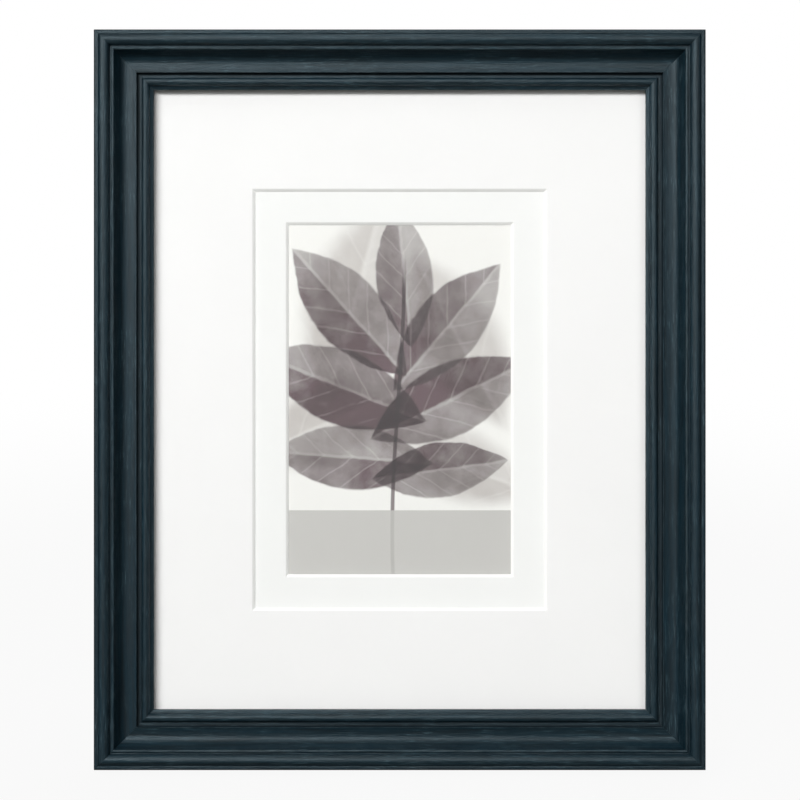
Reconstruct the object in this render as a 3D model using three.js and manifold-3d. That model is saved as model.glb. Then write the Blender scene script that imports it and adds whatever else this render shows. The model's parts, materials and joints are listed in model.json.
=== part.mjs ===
// Matted picture frame for an 8 x 10 in pack, standing on its two-way easel leg.
// Lengths are millimetres and angles degrees. As seen from the front, X runs to the right, Z up and
// Y to the back. The frame is drawn upright, with its back in the plane y = 0 and its lower edge at
// z = 0; at the end it leans back and is set on the table, centred over the origin.
import * as THREE from "three";
import { mergeVertices } from "three/addons/utils/BufferGeometryUtils.js";
import Module from "manifold-3d";

// Pack of sheets in the rabbet, front to back: glass, outer mat, inner mat, print, back board
const PACK_WIDTH = 203.2;
const PACK_HEIGHT = 254;
const PACK_PLAY = 1;
const SHEET_GAP = 0.1;
const GLASS_THICKNESS = 2;
const MAT_THICKNESS = 1.1;
const PRINT_THICKNESS = 0.25;
const BOARD_THICKNESS = 3;
const WINDOW_WIDTH = 88.9;
const WINDOW_HEIGHT = 139.7;
const MAT_REVEAL = 12.2;

// Moulding, widths from the outer edge to the sight edge
const MOULDING_WIDTH = 22.8;
const RIM_WIDTH = 1.5;
const RIM_CHAMFER = 0.5;
const BEAD_WIDTH = 4.7;
const VALLEY_WIDTH = 0.5;
const RIDGE_WIDTH = 1.2;
const HOLLOW_RADIUS = 3.25;
const TOE_WIDTH = 3.6;
const ARRIS_LEAN = 0.15;
const CHANNEL_WIDTH = 1.7;
const INNER_BEAD_WIDTH = 3.25;
const LIP_SLOPE_WIDTH = 1.5;
const LIP_ROUND = 0.4;
const LIP_WIDTH = 4.75;

// Moulding, heights from the lip up to the rim, and the tilt of the cove wall
const LIP_THICKNESS = 2.45;
const LIP_FALL = 0.7;
const INNER_BEAD_RISE = 1.6;
const CHANNEL_DROP = 0.4;
const ARRIS_RISE = 1.9;
const TOE_RISE = 0.65;
const COVE_FALL = 4.9;
const COVE_WALL = 60;
const RIDGE_RISE = 0.5;
const RIM_RISE = 1.3;
const RIM_QUIRK = 0.4;
const BEAD_RISE = 2.4;

// Mitred corners and their V-shaped nails
const MITRE_GAP = 0.15;
const V_NAIL_INSETS = { outer: 4.5, inner: 10 };
const V_NAIL_WING = 5.5;
const V_NAIL_THICKNESS = 0.7;
const V_NAIL_HEIGHT = 8;
const V_NAIL_SINK = 0.2;

// Fit between pieces
const SEAT_GAP = 0.1;
const HOLE_GAP = 0.15;

// Turn buttons on the back, their screws and their places along each rail
const BUTTON_INSET = 12.2;
const BUTTON_REACH = 11.8;
const BUTTON_THICKNESS = 1;
const BUTTON_HEEL_RADIUS = 4.5;
const BUTTON_TIP_RADIUS = 3.2;
const STILE_BUTTON_OFFSET = 55;
const TOP_BUTTON_OFFSET = 62;
const SCREW_RADIUS = 1.4;
const SCREW_LENGTH = 8;
const SCREW_POINT = 2;
const SCREW_HEAD_RADIUS = 3;
const SCREW_HEAD_HEIGHT = 1.7;

// Sawtooth hangers and their nails
const HANGER_LENGTH = 46;
const HANGER_WIDTH = 9;
const HANGER_INSET = 9;
const HANGER_THICKNESS = 0.8;
const HANGER_LIFT = 1.6;
const HANGER_FOOT = 9;
const TOOTH_PITCH = 2.4;
const TOOTH_DEPTH = 1.5;
const NAIL_RADIUS = 0.8;
const NAIL_LENGTH = 7.5;
const NAIL_POINT = 1.5;
const NAIL_HEAD_RADIUS = 2.2;
const NAIL_HEAD_HEIGHT = 0.7;

// Easel leg: how far the frame leans, how far the leg opens and where it points
const LEAN = 15;
const LEG_OPENING = 30;
const LEG_TURN = 38;
const LEG_LENGTH = 170;
const LEG_THICKNESS = 3;
const LEG_TOP_WIDTH = 27.6;
const LEG_FOOT_WIDTH = 56;
const LEG_TIP_ROUND = 2;
const LEG_GAP = 0.6;

// Hinge of the leg
const SHEET_STEEL = 0.8;
const PIN_RADIUS = 0.9;
const PIN_HEAD_RADIUS = 1.8;
const PIN_HEAD_HEIGHT = 0.7;
const EAR_GAP = 0.3;
const EAR_ROOT = 10;
const LEAF_START = 3.2;
const LEAF_LENGTH = 22;
const STRAP_LENGTH = 24;
const STOP_GAP = 0.1;
const RIVET_SPREAD = 16;
const RIVET_FROM_AXIS = 16;
const RIVET_RADIUS = 1.5;
const RIVET_HEAD_RADIUS = 3;
const RIVET_HEAD_HEIGHT = 1.1;
const RIVET_TAIL_RADIUS = 2.6;
const RIVET_TAIL_HEIGHT = 0.6;

// Fineness of round shapes
const ARC_STEPS = 7;
const ROUND_SIDES = 20;
const DOME_STEPS = 3;

// Sizes that follow from the ones above
const RABBET_DEPTH = GLASS_THICKNESS + 2 * MAT_THICKNESS + PRINT_THICKNESS + BOARD_THICKNESS
  + 5 * SHEET_GAP;
const BACK_WIDTH = MOULDING_WIDTH - LIP_WIDTH;
const FRAME_WIDTH = PACK_WIDTH + 2 * (PACK_PLAY + BACK_WIDTH);
const FRAME_HEIGHT = PACK_HEIGHT + 2 * (PACK_PLAY + BACK_WIDTH);
const PIN_HEIGHT = LEG_GAP + LEG_THICKNESS + SEAT_GAP - EAR_GAP - PIN_RADIUS;
const EAR_RADIUS = PIN_HEIGHT - EAR_GAP;
const WALL_ANGLE = THREE.MathUtils.degToRad(COVE_WALL);
const LEAN_ANGLE = THREE.MathUtils.degToRad(LEAN);
const OPENING_ANGLE = THREE.MathUtils.degToRad(LEG_OPENING);
const TURN_ANGLE = THREE.MathUtils.degToRad(LEG_TURN);

// Finishes: colour, roughness and metalness
const FINISHES = {
  stainedWood: ["#26343c", 0.5, 0],
  glass: ["#eef3f2", 0.05, 0],
  outerMat: ["#f8f8f8", 0.9, 0],
  innerMat: ["#f6f5f1", 0.9, 0],
  print: ["#a89b9c", 0.7, 0],
  hardboard: ["#2a2726", 0.85, 0],
  zincSteel: ["#b4b8ba", 0.35, 1],
  brass: ["#b89a5a", 0.35, 1],
};

const wasm = await Module();
wasm.setup();

// One closed body from a geometry
function solidFrom(geometry) {
  const bare = geometry.clone();
  bare.deleteAttribute("normal");
  bare.deleteAttribute("uv");
  const welded = mergeVertices(bare);
  const vertProperties = welded.getAttribute("position").array;
  const triVerts = new Uint32Array(welded.index.array);
  return new wasm.Manifold(new wasm.Mesh({ numProp: 3, vertProperties, triVerts }));
}

// Geometry of a body, with flat faces
function geometryFrom(solid) {
  const { vertProperties, triVerts } = solid.getMesh();
  const shared = new THREE.BufferGeometry();
  shared.setAttribute("position", new THREE.BufferAttribute(vertProperties, 3));
  shared.setIndex(new THREE.BufferAttribute(triVerts, 1));
  const geometry = shared.toNonIndexed();
  geometry.computeVertexNormals();
  return geometry;
}

function cut(geometry, tools) {
  const body = tools.reduce((left, tool) => left.subtract(solidFrom(tool)), solidFrom(geometry));
  return geometryFrom(body);
}

function join(geometries) {
  return geometryFrom(geometries.map(solidFrom).reduce((body, next) => body.add(next)));
}

function piece(name, geometry, finish) {
  const [color, roughness, metalness] = FINISHES[finish];
  const material = new THREE.MeshStandardMaterial({ color, roughness, metalness });
  const mesh = new THREE.Mesh(geometry, material);
  mesh.name = name;
  return mesh;
}

function rectangle(width, height) {
  const shape = new THREE.Shape();
  shape.moveTo(-width / 2, -height / 2);
  shape.lineTo(width / 2, -height / 2);
  shape.lineTo(width / 2, height / 2);
  shape.lineTo(-width / 2, height / 2);
  shape.closePath();
  return shape;
}

function circle(x, y, radius) {
  return new THREE.Path().absarc(x, y, radius, 0, 2 * Math.PI);
}

// Plate parallel to the picture: the outline's x and y become X and Z, the thickness runs along +Y
function plate(outline, front, thickness) {
  const geometry = new THREE.ExtrudeGeometry(outline, {
    depth: thickness,
    bevelEnabled: false,
    curveSegments: ARC_STEPS,
  });
  return geometry.rotateX(Math.PI / 2).translate(0, front + thickness, 0);
}

// Bar along X: the outline's x and y become Z and Y
function bar(outline, start, length) {
  const geometry = new THREE.ExtrudeGeometry(outline, {
    depth: length,
    bevelEnabled: false,
    curveSegments: ARC_STEPS,
  });
  return geometry.rotateY(-Math.PI / 2).translate(start + length, 0, 0);
}

// Round piece about Y from pairs of radius and height, lowest first
function turned(outline) {
  const points = outline.map(([radius, y]) => new THREE.Vector2(radius, y));
  return new THREE.LatheGeometry(points, ROUND_SIDES);
}

// Plain round cutter about Y at a place in the back
function drill(x, z, radius, from, to) {
  return turned([[0, from], [radius, from], [radius, to], [0, to]]).translate(x, 0, z);
}

// Domed head that closes a turned outline
function dome(radius, base, height) {
  const points = [];
  for (let step = 0; step <= DOME_STEPS; step += 1) {
    const angle = (step / DOME_STEPS) * (Math.PI / 2);
    points.push([step === DOME_STEPS ? 0 : radius * Math.cos(angle), base + height * Math.sin(angle)]);
  }
  return points;
}

// Cross section of the moulding: x inward from the outer edge, y forward from the back
function mouldingOutline() {
  const beadFoot = RABBET_DEPTH + LIP_THICKNESS;
  const lipEdge = beadFoot - LIP_FALL;
  const channel = beadFoot - CHANNEL_DROP;
  const arris = beadFoot + ARRIS_RISE;
  const coveFloor = arris - TOE_RISE;
  const valley = coveFloor + COVE_FALL;
  const rim = valley + RIM_RISE;

  const beadEnd = RIM_WIDTH + BEAD_WIDTH;
  const beadStartAngle = Math.asin((RIM_RISE - RIM_QUIRK) / BEAD_RISE);
  const beadRadius = BEAD_WIDTH / (1 + Math.cos(beadStartAngle));
  const ridgeMiddle = beadEnd + VALLEY_WIDTH + RIDGE_WIDTH / 2;
  const innerBeadRadius = INNER_BEAD_WIDTH / 2;
  const innerBeadMiddle = MOULDING_WIDTH - LIP_SLOPE_WIDTH - innerBeadRadius;
  const innerBeadStart = innerBeadMiddle - innerBeadRadius;
  const channelStart = innerBeadStart - CHANNEL_WIDTH;
  const arrisPlace = channelStart - ARRIS_LEAN;
  const toeStart = arrisPlace - TOE_WIDTH;
  const toeRadius = (TOE_WIDTH ** 2 + TOE_RISE ** 2) / (2 * TOE_RISE);
  const toeSwing = Math.asin(TOE_WIDTH / toeRadius);
  const down = 1.5 * Math.PI;

  const outline = new THREE.Shape();
  outline.moveTo(0, 0);
  outline.lineTo(BACK_WIDTH, 0);
  outline.lineTo(BACK_WIDTH, RABBET_DEPTH);
  outline.lineTo(MOULDING_WIDTH, RABBET_DEPTH);
  outline.lineTo(MOULDING_WIDTH, lipEdge - LIP_ROUND);
  outline.absarc(MOULDING_WIDTH - LIP_ROUND, lipEdge - LIP_ROUND, LIP_ROUND, 0, Math.PI / 2);
  outline.absellipse(innerBeadMiddle, beadFoot, innerBeadRadius, INNER_BEAD_RISE, 0, Math.PI);
  outline.lineTo(innerBeadStart, channel);
  outline.lineTo(channelStart, channel);
  outline.absarc(toeStart, coveFloor + toeRadius, toeRadius, down + toeSwing, down, true);
  outline.absarc(toeStart, coveFloor + HOLLOW_RADIUS, HOLLOW_RADIUS, down, down - WALL_ANGLE, true);
  outline.absellipse(ridgeMiddle, valley, RIDGE_WIDTH / 2, RIDGE_RISE, 0, Math.PI);
  outline.absellipse(beadEnd - beadRadius, valley, beadRadius, BEAD_RISE, 0, Math.PI - beadStartAngle);
  outline.lineTo(RIM_WIDTH, rim);
  outline.lineTo(RIM_CHAMFER, rim);
  outline.lineTo(0, rim - RIM_CHAMFER);
  outline.closePath();
  return outline;
}

// Length of moulding mitred at both ends: X along it, Z inward from its outer edge
function mitredMoulding(length) {
  const geometry = new THREE.ExtrudeGeometry(mouldingOutline(), {
    depth: 1,
    bevelEnabled: false,
    curveSegments: ARC_STEPS,
  });
  const position = geometry.getAttribute("position");
  for (let i = 0; i < position.count; i += 1) {
    const across = position.getX(i);
    const side = position.getZ(i) > 0.5 ? 1 : -1;
    position.setXYZ(i, side * (length / 2 - across - MITRE_GAP / 2), -position.getY(i), across);
  }
  return geometry;
}

// V-nail across a mitre, its point at equal distances from both outer edges, grown for its slot
function vNail(inset, growth) {
  const outline = new THREE.Shape();
  const near = inset - growth;
  const far = inset + V_NAIL_THICKNESS + growth;
  const end = inset + V_NAIL_WING + growth;
  outline.moveTo(near, near);
  outline.lineTo(end, near);
  outline.lineTo(end, far);
  outline.lineTo(far, far);
  outline.lineTo(far, end);
  outline.lineTo(near, end);
  outline.closePath();
  const front = -V_NAIL_SINK - V_NAIL_HEIGHT;
  return plate(outline, front - growth, V_NAIL_HEIGHT + growth * 2);
}

// Slot for a V-nail, open to the back
function vNailSlot(inset) {
  return join([vNail(inset, HOLE_GAP), vNail(inset, HOLE_GAP).translate(0, V_NAIL_HEIGHT / 2, 0)]);
}

function turnButton() {
  const tip = BUTTON_REACH - BUTTON_TIP_RADIUS;
  const outline = new THREE.Shape();
  outline.absarc(0, 0, BUTTON_HEEL_RADIUS, Math.PI, 2 * Math.PI);
  outline.absarc(0, tip, BUTTON_TIP_RADIUS, 0, Math.PI);
  outline.closePath();
  outline.holes.push(circle(0, 0, SCREW_RADIUS + HOLE_GAP));
  return plate(outline, SEAT_GAP, BUTTON_THICKNESS);
}

function buttonScrew() {
  const seat = 2 * SEAT_GAP + BUTTON_THICKNESS;
  return turned([
    [0, -SCREW_LENGTH],
    [SCREW_RADIUS, SCREW_POINT - SCREW_LENGTH],
    [SCREW_RADIUS, seat],
    ...dome(SCREW_HEAD_RADIUS, seat, SCREW_HEAD_HEIGHT),
  ]);
}

// Toothed strip with both feet on the rail and its middle lifted clear for a wall nail
function sawtoothHanger() {
  const half = HANGER_LENGTH / 2;
  const foot = half - HANGER_FOOT;
  const lifted = foot - HANGER_LIFT;
  const shift = HANGER_THICKNESS * Math.tan(Math.PI / 8);
  const strip = new THREE.Shape();
  strip.moveTo(-half, 0);
  strip.lineTo(-foot, 0);
  strip.lineTo(-lifted, HANGER_LIFT);
  strip.lineTo(lifted, HANGER_LIFT);
  strip.lineTo(foot, 0);
  strip.lineTo(half, 0);
  strip.lineTo(half, HANGER_THICKNESS);
  strip.lineTo(foot + shift, HANGER_THICKNESS);
  strip.lineTo(lifted + shift, HANGER_LIFT + HANGER_THICKNESS);
  strip.lineTo(-lifted - shift, HANGER_LIFT + HANGER_THICKNESS);
  strip.lineTo(-foot - shift, HANGER_THICKNESS);
  strip.lineTo(-half, HANGER_THICKNESS);
  strip.closePath();
  const bent = new THREE.ExtrudeGeometry(strip, { depth: HANGER_WIDTH, bevelEnabled: false });
  bent.translate(0, SEAT_GAP, -HANGER_WIDTH / 2);

  const teeth = Math.floor((2 * lifted) / TOOTH_PITCH);
  const first = (-teeth * TOOTH_PITCH) / 2;
  const edge = HANGER_WIDTH / 2;
  const stamped = new THREE.Shape();
  stamped.moveTo(-half, -edge);
  stamped.lineTo(half, -edge);
  stamped.lineTo(half, edge);
  for (let tooth = teeth; tooth > 0; tooth -= 1) {
    stamped.lineTo(first + tooth * TOOTH_PITCH, edge);
    stamped.lineTo(first + (tooth - 0.5) * TOOTH_PITCH, edge - TOOTH_DEPTH);
  }
  stamped.lineTo(first, edge);
  stamped.lineTo(-half, edge);
  stamped.closePath();
  const nailAt = half - HANGER_FOOT / 2;
  for (const side of [-1, 1]) {
    stamped.holes.push(circle(side * nailAt, 0, NAIL_RADIUS + HOLE_GAP));
  }
  const blank = plate(stamped, 0, HANGER_LIFT + 2 * HANGER_THICKNESS);
  return geometryFrom(solidFrom(bent).intersect(solidFrom(blank)));
}

function hangerNail() {
  const seat = 2 * SEAT_GAP + HANGER_THICKNESS;
  return turned([
    [0, -NAIL_LENGTH],
    [NAIL_RADIUS, NAIL_POINT - NAIL_LENGTH],
    [NAIL_RADIUS, seat],
    [NAIL_HEAD_RADIUS, seat],
    [NAIL_HEAD_RADIUS, seat + NAIL_HEAD_HEIGHT / 2],
    [0, seat + NAIL_HEAD_HEIGHT],
  ]);
}

// One side of the frame with the turn buttons and the hanger that are fixed to its back
function frameSide({ name, length, turn, x, z, buttons, hanger }) {
  const side = new THREE.Group();
  const tools = [];
  for (const inset of Object.values(V_NAIL_INSETS)) {
    const slot = vNailSlot(inset);
    tools.push(slot.clone().translate(-length / 2, 0, 0));
    tools.push(slot.clone().rotateY(-Math.PI / 2).translate(length / 2, 0, 0));
  }
  for (const [number, along] of buttons) {
    tools.push(drill(along, BUTTON_INSET, SCREW_RADIUS + HOLE_GAP, -SCREW_LENGTH - SEAT_GAP, SEAT_GAP));
    const button = piece(`turn_button_${number}`, turnButton(), "zincSteel");
    const screw = piece(`turn_button_screw_${number}`, buttonScrew(), "zincSteel");
    for (const mesh of [button, screw]) {
      mesh.position.set(along, 0, BUTTON_INSET);
      side.add(mesh);
    }
  }
  if (hanger) {
    const strip = piece(`${hanger}_hanger`, sawtoothHanger(), "brass");
    strip.position.z = HANGER_INSET;
    side.add(strip);
    const nailAt = (HANGER_LENGTH - HANGER_FOOT) / 2;
    [-nailAt, nailAt].forEach((along, index) => {
      tools.push(drill(along, HANGER_INSET, NAIL_RADIUS + HOLE_GAP, -NAIL_LENGTH - SEAT_GAP, SEAT_GAP));
      const nail = piece(`${hanger}_hanger_nail_${index + 1}`, hangerNail(), "brass");
      nail.position.set(along, 0, HANGER_INSET);
      side.add(nail);
    });
  }
  side.add(piece(name, cut(mitredMoulding(length), tools), "stainedWood"));
  side.rotation.y = turn;
  side.position.set(x, 0, z);
  return side;
}

// The two V-nails of one corner
function cornerNails({ name, turn, x, z }) {
  const corner = new THREE.Group();
  for (const [place, inset] of Object.entries(V_NAIL_INSETS)) {
    corner.add(piece(`${name}_v_nail_${place}`, vNail(inset, 0), "zincSteel"));
  }
  corner.rotation.y = turn;
  corner.position.set(x, 0, z);
  return corner;
}

// Mat with a window whose edge is cut back at 45 degrees towards the front
function bevelledMat(windowWidth, windowHeight, front) {
  const outline = rectangle(PACK_WIDTH, PACK_HEIGHT);
  outline.holes.push(rectangle(windowWidth, windowHeight));
  const geometry = plate(outline, front, MAT_THICKNESS);
  const position = geometry.getAttribute("position");
  for (let i = 0; i < position.count; i += 1) {
    const x = position.getX(i);
    const z = position.getZ(i);
    const isWindow = Math.abs(x) < (PACK_WIDTH + windowWidth) / 4;
    const isFront = position.getY(i) < front + MAT_THICKNESS / 2;
    if (isWindow && isFront) {
      position.setX(i, x + Math.sign(x) * MAT_THICKNESS);
      position.setZ(i, z + Math.sign(z) * MAT_THICKNESS);
    }
  }
  return geometry;
}

// Rivet between an outer face and an inner face, its tail sunk below the inner one
function rivet(inner, outer) {
  const tail = inner + SEAT_GAP;
  return turned([
    [0, tail],
    [RIVET_TAIL_RADIUS, tail],
    [RIVET_TAIL_RADIUS, tail + RIVET_TAIL_HEIGHT],
    [RIVET_RADIUS, tail + RIVET_TAIL_HEIGHT],
    [RIVET_RADIUS, outer + SEAT_GAP],
    ...dome(RIVET_HEAD_RADIUS, outer + SEAT_GAP, RIVET_HEAD_HEIGHT),
  ]);
}

// Stepped hole for a rivet, right through a board whose inner face is given
function rivetHole(x, z, inner, thickness) {
  const floor = inner + RIVET_TAIL_HEIGHT + 2 * SEAT_GAP;
  return turned([
    [0, inner - SEAT_GAP],
    [RIVET_TAIL_RADIUS + HOLE_GAP, inner - SEAT_GAP],
    [RIVET_TAIL_RADIUS + HOLE_GAP, floor],
    [RIVET_RADIUS + HOLE_GAP, floor],
    [RIVET_RADIUS + HOLE_GAP, inner + thickness + SEAT_GAP],
    [0, inner + thickness + SEAT_GAP],
  ]).translate(x, 0, z);
}

// Hinge parts are drawn about the pin: X along it, Z away from the foot, Y out from the back board
const RIVET_SIDES = [-RIVET_SPREAD / 2, RIVET_SPREAD / 2];
const BOARD_FACE = -PIN_HEIGHT;
const LEAF_OUTER = BOARD_FACE + SEAT_GAP + SHEET_STEEL;
const LEG_INNER = BOARD_FACE + LEG_GAP;
const LEG_OUTER = LEG_INNER + LEG_THICKNESS;
const STRAP_INNER = LEG_OUTER + SEAT_GAP;
const STRAP_OUTER = STRAP_INNER + SHEET_STEEL;
const STRAP_HALF = LEG_TOP_WIDTH / 2 + EAR_GAP + SHEET_STEEL;
const LEAF_HALF = STRAP_HALF + EAR_GAP + SHEET_STEEL;

// Leaf riveted to the back board, with two ears that carry the pin
function boardLeaf() {
  const flat = new THREE.Shape();
  flat.moveTo(-LEAF_HALF, LEAF_START);
  flat.lineTo(LEAF_HALF, LEAF_START);
  flat.lineTo(LEAF_HALF, LEAF_START + LEAF_LENGTH);
  flat.lineTo(-LEAF_HALF, LEAF_START + LEAF_LENGTH);
  flat.closePath();
  for (const x of RIVET_SIDES) {
    flat.holes.push(circle(x, RIVET_FROM_AXIS, RIVET_RADIUS + HOLE_GAP));
  }
  const ear = new THREE.Shape();
  ear.moveTo(EAR_ROOT, BOARD_FACE + SEAT_GAP);
  ear.lineTo(EAR_ROOT, LEAF_OUTER);
  ear.lineTo(0, EAR_RADIUS);
  ear.absarc(0, 0, EAR_RADIUS, Math.PI / 2, 1.5 * Math.PI);
  ear.lineTo(LEAF_START, BOARD_FACE + SEAT_GAP);
  ear.closePath();
  ear.holes.push(circle(0, 0, PIN_RADIUS + HOLE_GAP));
  return join([
    plate(flat, BOARD_FACE + SEAT_GAP, SHEET_STEEL),
    bar(ear, -LEAF_HALF, SHEET_STEEL),
    bar(ear, LEAF_HALF - SHEET_STEEL, SHEET_STEEL),
  ]);
}

// Strap riveted to the leg; the heel past the pin meets the leaf when the leg is fully open
function legStrap() {
  const reach = STRAP_INNER * Math.cos(OPENING_ANGLE) - LEAF_OUTER - STOP_GAP;
  const heel = reach / Math.sin(OPENING_ANGLE);
  const flat = new THREE.Shape();
  flat.moveTo(-STRAP_HALF, -STRAP_LENGTH);
  flat.lineTo(STRAP_HALF, -STRAP_LENGTH);
  flat.lineTo(STRAP_HALF, heel);
  flat.lineTo(-STRAP_HALF, heel);
  flat.closePath();
  for (const x of RIVET_SIDES) {
    flat.holes.push(circle(x, -RIVET_FROM_AXIS, RIVET_RADIUS + HOLE_GAP));
  }
  const ear = new THREE.Shape();
  ear.moveTo(-EAR_RADIUS, STRAP_OUTER);
  ear.lineTo(-EAR_RADIUS, 0);
  ear.absarc(0, 0, EAR_RADIUS, Math.PI, 2 * Math.PI);
  ear.lineTo(EAR_RADIUS, STRAP_OUTER);
  ear.closePath();
  ear.holes.push(circle(0, 0, PIN_RADIUS + HOLE_GAP));
  return join([
    plate(flat, STRAP_INNER, SHEET_STEEL),
    bar(ear, -STRAP_HALF, SHEET_STEEL),
    bar(ear, STRAP_HALF - SHEET_STEEL, SHEET_STEEL),
  ]);
}

function hingePin() {
  const neck = LEAF_HALF + SEAT_GAP;
  const end = neck + PIN_HEAD_HEIGHT;
  const outline = [
    [0, -end],
    [PIN_HEAD_RADIUS, -end],
    [PIN_HEAD_RADIUS, -neck],
    [PIN_RADIUS, -neck],
    [PIN_RADIUS, neck],
    [PIN_HEAD_RADIUS, neck],
    [PIN_HEAD_RADIUS, end],
    [0, end],
  ];
  return turned(outline).rotateZ(-Math.PI / 2);
}

// Leg with a two-edged foot: one edge rests on the table upright, the other with the frame on its side
function easelLeg() {
  const sweep = Math.sin(OPENING_ANGLE) * Math.tan(LEAN_ANGLE);
  const uprightSlope = Math.sin(TURN_ANGLE)
    / (Math.cos(OPENING_ANGLE) * Math.cos(TURN_ANGLE) + sweep);
  const sidewaysSlope = Math.cos(TURN_ANGLE)
    / (Math.cos(OPENING_ANGLE) * Math.sin(TURN_ANGLE) + sweep);
  const half = LEG_FOOT_WIDTH / 2;
  const top = -EAR_RADIUS;
  const outline = new THREE.Shape();
  outline.moveTo(-LEG_TOP_WIDTH / 2, top);
  outline.lineTo(-half, half * sidewaysSlope - LEG_LENGTH);
  outline.lineTo(-LEG_TIP_ROUND, LEG_TIP_ROUND * sidewaysSlope - LEG_LENGTH);
  outline.quadraticCurveTo(0, -LEG_LENGTH, LEG_TIP_ROUND, LEG_TIP_ROUND * uprightSlope - LEG_LENGTH);
  outline.lineTo(half, half * uprightSlope - LEG_LENGTH);
  outline.lineTo(LEG_TOP_WIDTH / 2, top);
  outline.closePath();
  const holes = RIVET_SIDES.map((x) => rivetHole(x, -RIVET_FROM_AXIS, LEG_INNER, LEG_THICKNESS));
  return cut(plate(outline, LEG_INNER, LEG_THICKNESS), holes);
}

// Place of the pin in the frame, so that the open foot stands on the table in both positions
const FOOT_RUN = LEG_LENGTH * Math.cos(OPENING_ANGLE) - LEG_INNER * Math.sin(OPENING_ANGLE);
const FOOT_SWING = LEG_LENGTH * Math.sin(OPENING_ANGLE) + LEG_INNER * Math.cos(OPENING_ANGLE);
const FOOT_DEPTH = PIN_HEIGHT + FOOT_SWING;
const FOOT_RISE = FOOT_DEPTH * Math.tan(LEAN_ANGLE);
const PIN_X = FOOT_RUN * Math.sin(TURN_ANGLE) + FOOT_RISE - FRAME_WIDTH / 2;
const PIN_Z = FOOT_RUN * Math.cos(TURN_ANGLE) + FOOT_RISE;

function easel() {
  const hinge = new THREE.Group();
  hinge.add(piece("hinge_leaf", boardLeaf(), "zincSteel"));
  hinge.add(piece("hinge_pin", hingePin(), "zincSteel"));
  const leg = new THREE.Group();
  leg.add(piece("easel_leg", easelLeg(), "hardboard"));
  leg.add(piece("hinge_strap", legStrap(), "zincSteel"));
  RIVET_SIDES.forEach((x, index) => {
    const leafRivet = piece(
      `leaf_rivet_${index + 1}`,
      rivet(BOARD_FACE - BOARD_THICKNESS, LEAF_OUTER),
      "brass",
    );
    leafRivet.position.set(x, 0, RIVET_FROM_AXIS);
    hinge.add(leafRivet);
    const strapRivet = piece(`strap_rivet_${index + 1}`, rivet(LEG_INNER, STRAP_OUTER), "brass");
    strapRivet.position.set(x, 0, -RIVET_FROM_AXIS);
    leg.add(strapRivet);
  });
  leg.rotation.x = OPENING_ANGLE;
  hinge.add(leg);
  hinge.rotation.y = TURN_ANGLE;
  hinge.position.set(PIN_X, PIN_HEIGHT, PIN_Z);
  return hinge;
}

// Glass, mats, print and back board, each behind the last
function picturePack() {
  const pack = new THREE.Group();
  const sheet = () => rectangle(PACK_WIDTH, PACK_HEIGHT);
  let front = -RABBET_DEPTH + SHEET_GAP;
  pack.add(piece("glass_pane", plate(sheet(), front, GLASS_THICKNESS), "glass"));

  front += GLASS_THICKNESS + SHEET_GAP;
  const border = 2 * (MAT_THICKNESS + MAT_REVEAL);
  const outerMat = bevelledMat(WINDOW_WIDTH + border, WINDOW_HEIGHT + border, front);
  pack.add(piece("outer_mat", outerMat, "outerMat"));

  front += MAT_THICKNESS + SHEET_GAP;
  pack.add(piece("inner_mat", bevelledMat(WINDOW_WIDTH, WINDOW_HEIGHT, front), "innerMat"));

  front += MAT_THICKNESS + SHEET_GAP;
  pack.add(piece("picture_print", plate(sheet(), front, PRINT_THICKNESS), "print"));

  const holes = RIVET_SIDES.map((x) => {
    const hole = rivetHole(x, RIVET_FROM_AXIS, -BOARD_THICKNESS, BOARD_THICKNESS);
    return hole.rotateY(TURN_ANGLE).translate(PIN_X, 0, PIN_Z - FRAME_HEIGHT / 2);
  });
  const board = cut(plate(sheet(), -BOARD_THICKNESS, BOARD_THICKNESS), holes);
  pack.add(piece("back_board", board, "hardboard"));
  pack.position.z = FRAME_HEIGHT / 2;
  return pack;
}

// Sides and corners, each turned about Y so that its own Z points into the frame
const QUARTER = Math.PI / 2;
const SIDES = [
  { name: "bottom_rail", length: FRAME_WIDTH, turn: 0, x: 0, z: 0, buttons: [[1, 0]] },
  {
    name: "left_stile",
    length: FRAME_HEIGHT,
    turn: QUARTER,
    x: -FRAME_WIDTH / 2,
    z: FRAME_HEIGHT / 2,
    buttons: [[2, STILE_BUTTON_OFFSET], [3, -STILE_BUTTON_OFFSET]],
  },
  {
    name: "top_rail",
    length: FRAME_WIDTH,
    turn: 2 * QUARTER,
    x: 0,
    z: FRAME_HEIGHT,
    buttons: [[4, TOP_BUTTON_OFFSET], [5, -TOP_BUTTON_OFFSET]],
    hanger: "top",
  },
  {
    name: "right_stile",
    length: FRAME_HEIGHT,
    turn: 3 * QUARTER,
    x: FRAME_WIDTH / 2,
    z: FRAME_HEIGHT / 2,
    buttons: [[6, STILE_BUTTON_OFFSET], [7, -STILE_BUTTON_OFFSET]],
    hanger: "side",
  },
];
const CORNERS = [
  { name: "bottom_left", turn: 0, x: -FRAME_WIDTH / 2, z: 0 },
  { name: "top_left", turn: QUARTER, x: -FRAME_WIDTH / 2, z: FRAME_HEIGHT },
  { name: "top_right", turn: 2 * QUARTER, x: FRAME_WIDTH / 2, z: FRAME_HEIGHT },
  { name: "bottom_right", turn: 3 * QUARTER, x: FRAME_WIDTH / 2, z: 0 },
];

const upright = new THREE.Group();
upright.add(...SIDES.map(frameSide), ...CORNERS.map(cornerNails), picturePack(), easel());
upright.rotation.x = -LEAN_ANGLE;

const frame = new THREE.Group();
frame.name = "matted_picture_frame";
frame.add(upright);
frame.updateMatrixWorld(true);
const extent = new THREE.Box3().setFromObject(frame, true);
const middle = extent.getCenter(new THREE.Vector3());
upright.position.set(-middle.x, -middle.y, -extent.min.z);

export default frame;
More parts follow.
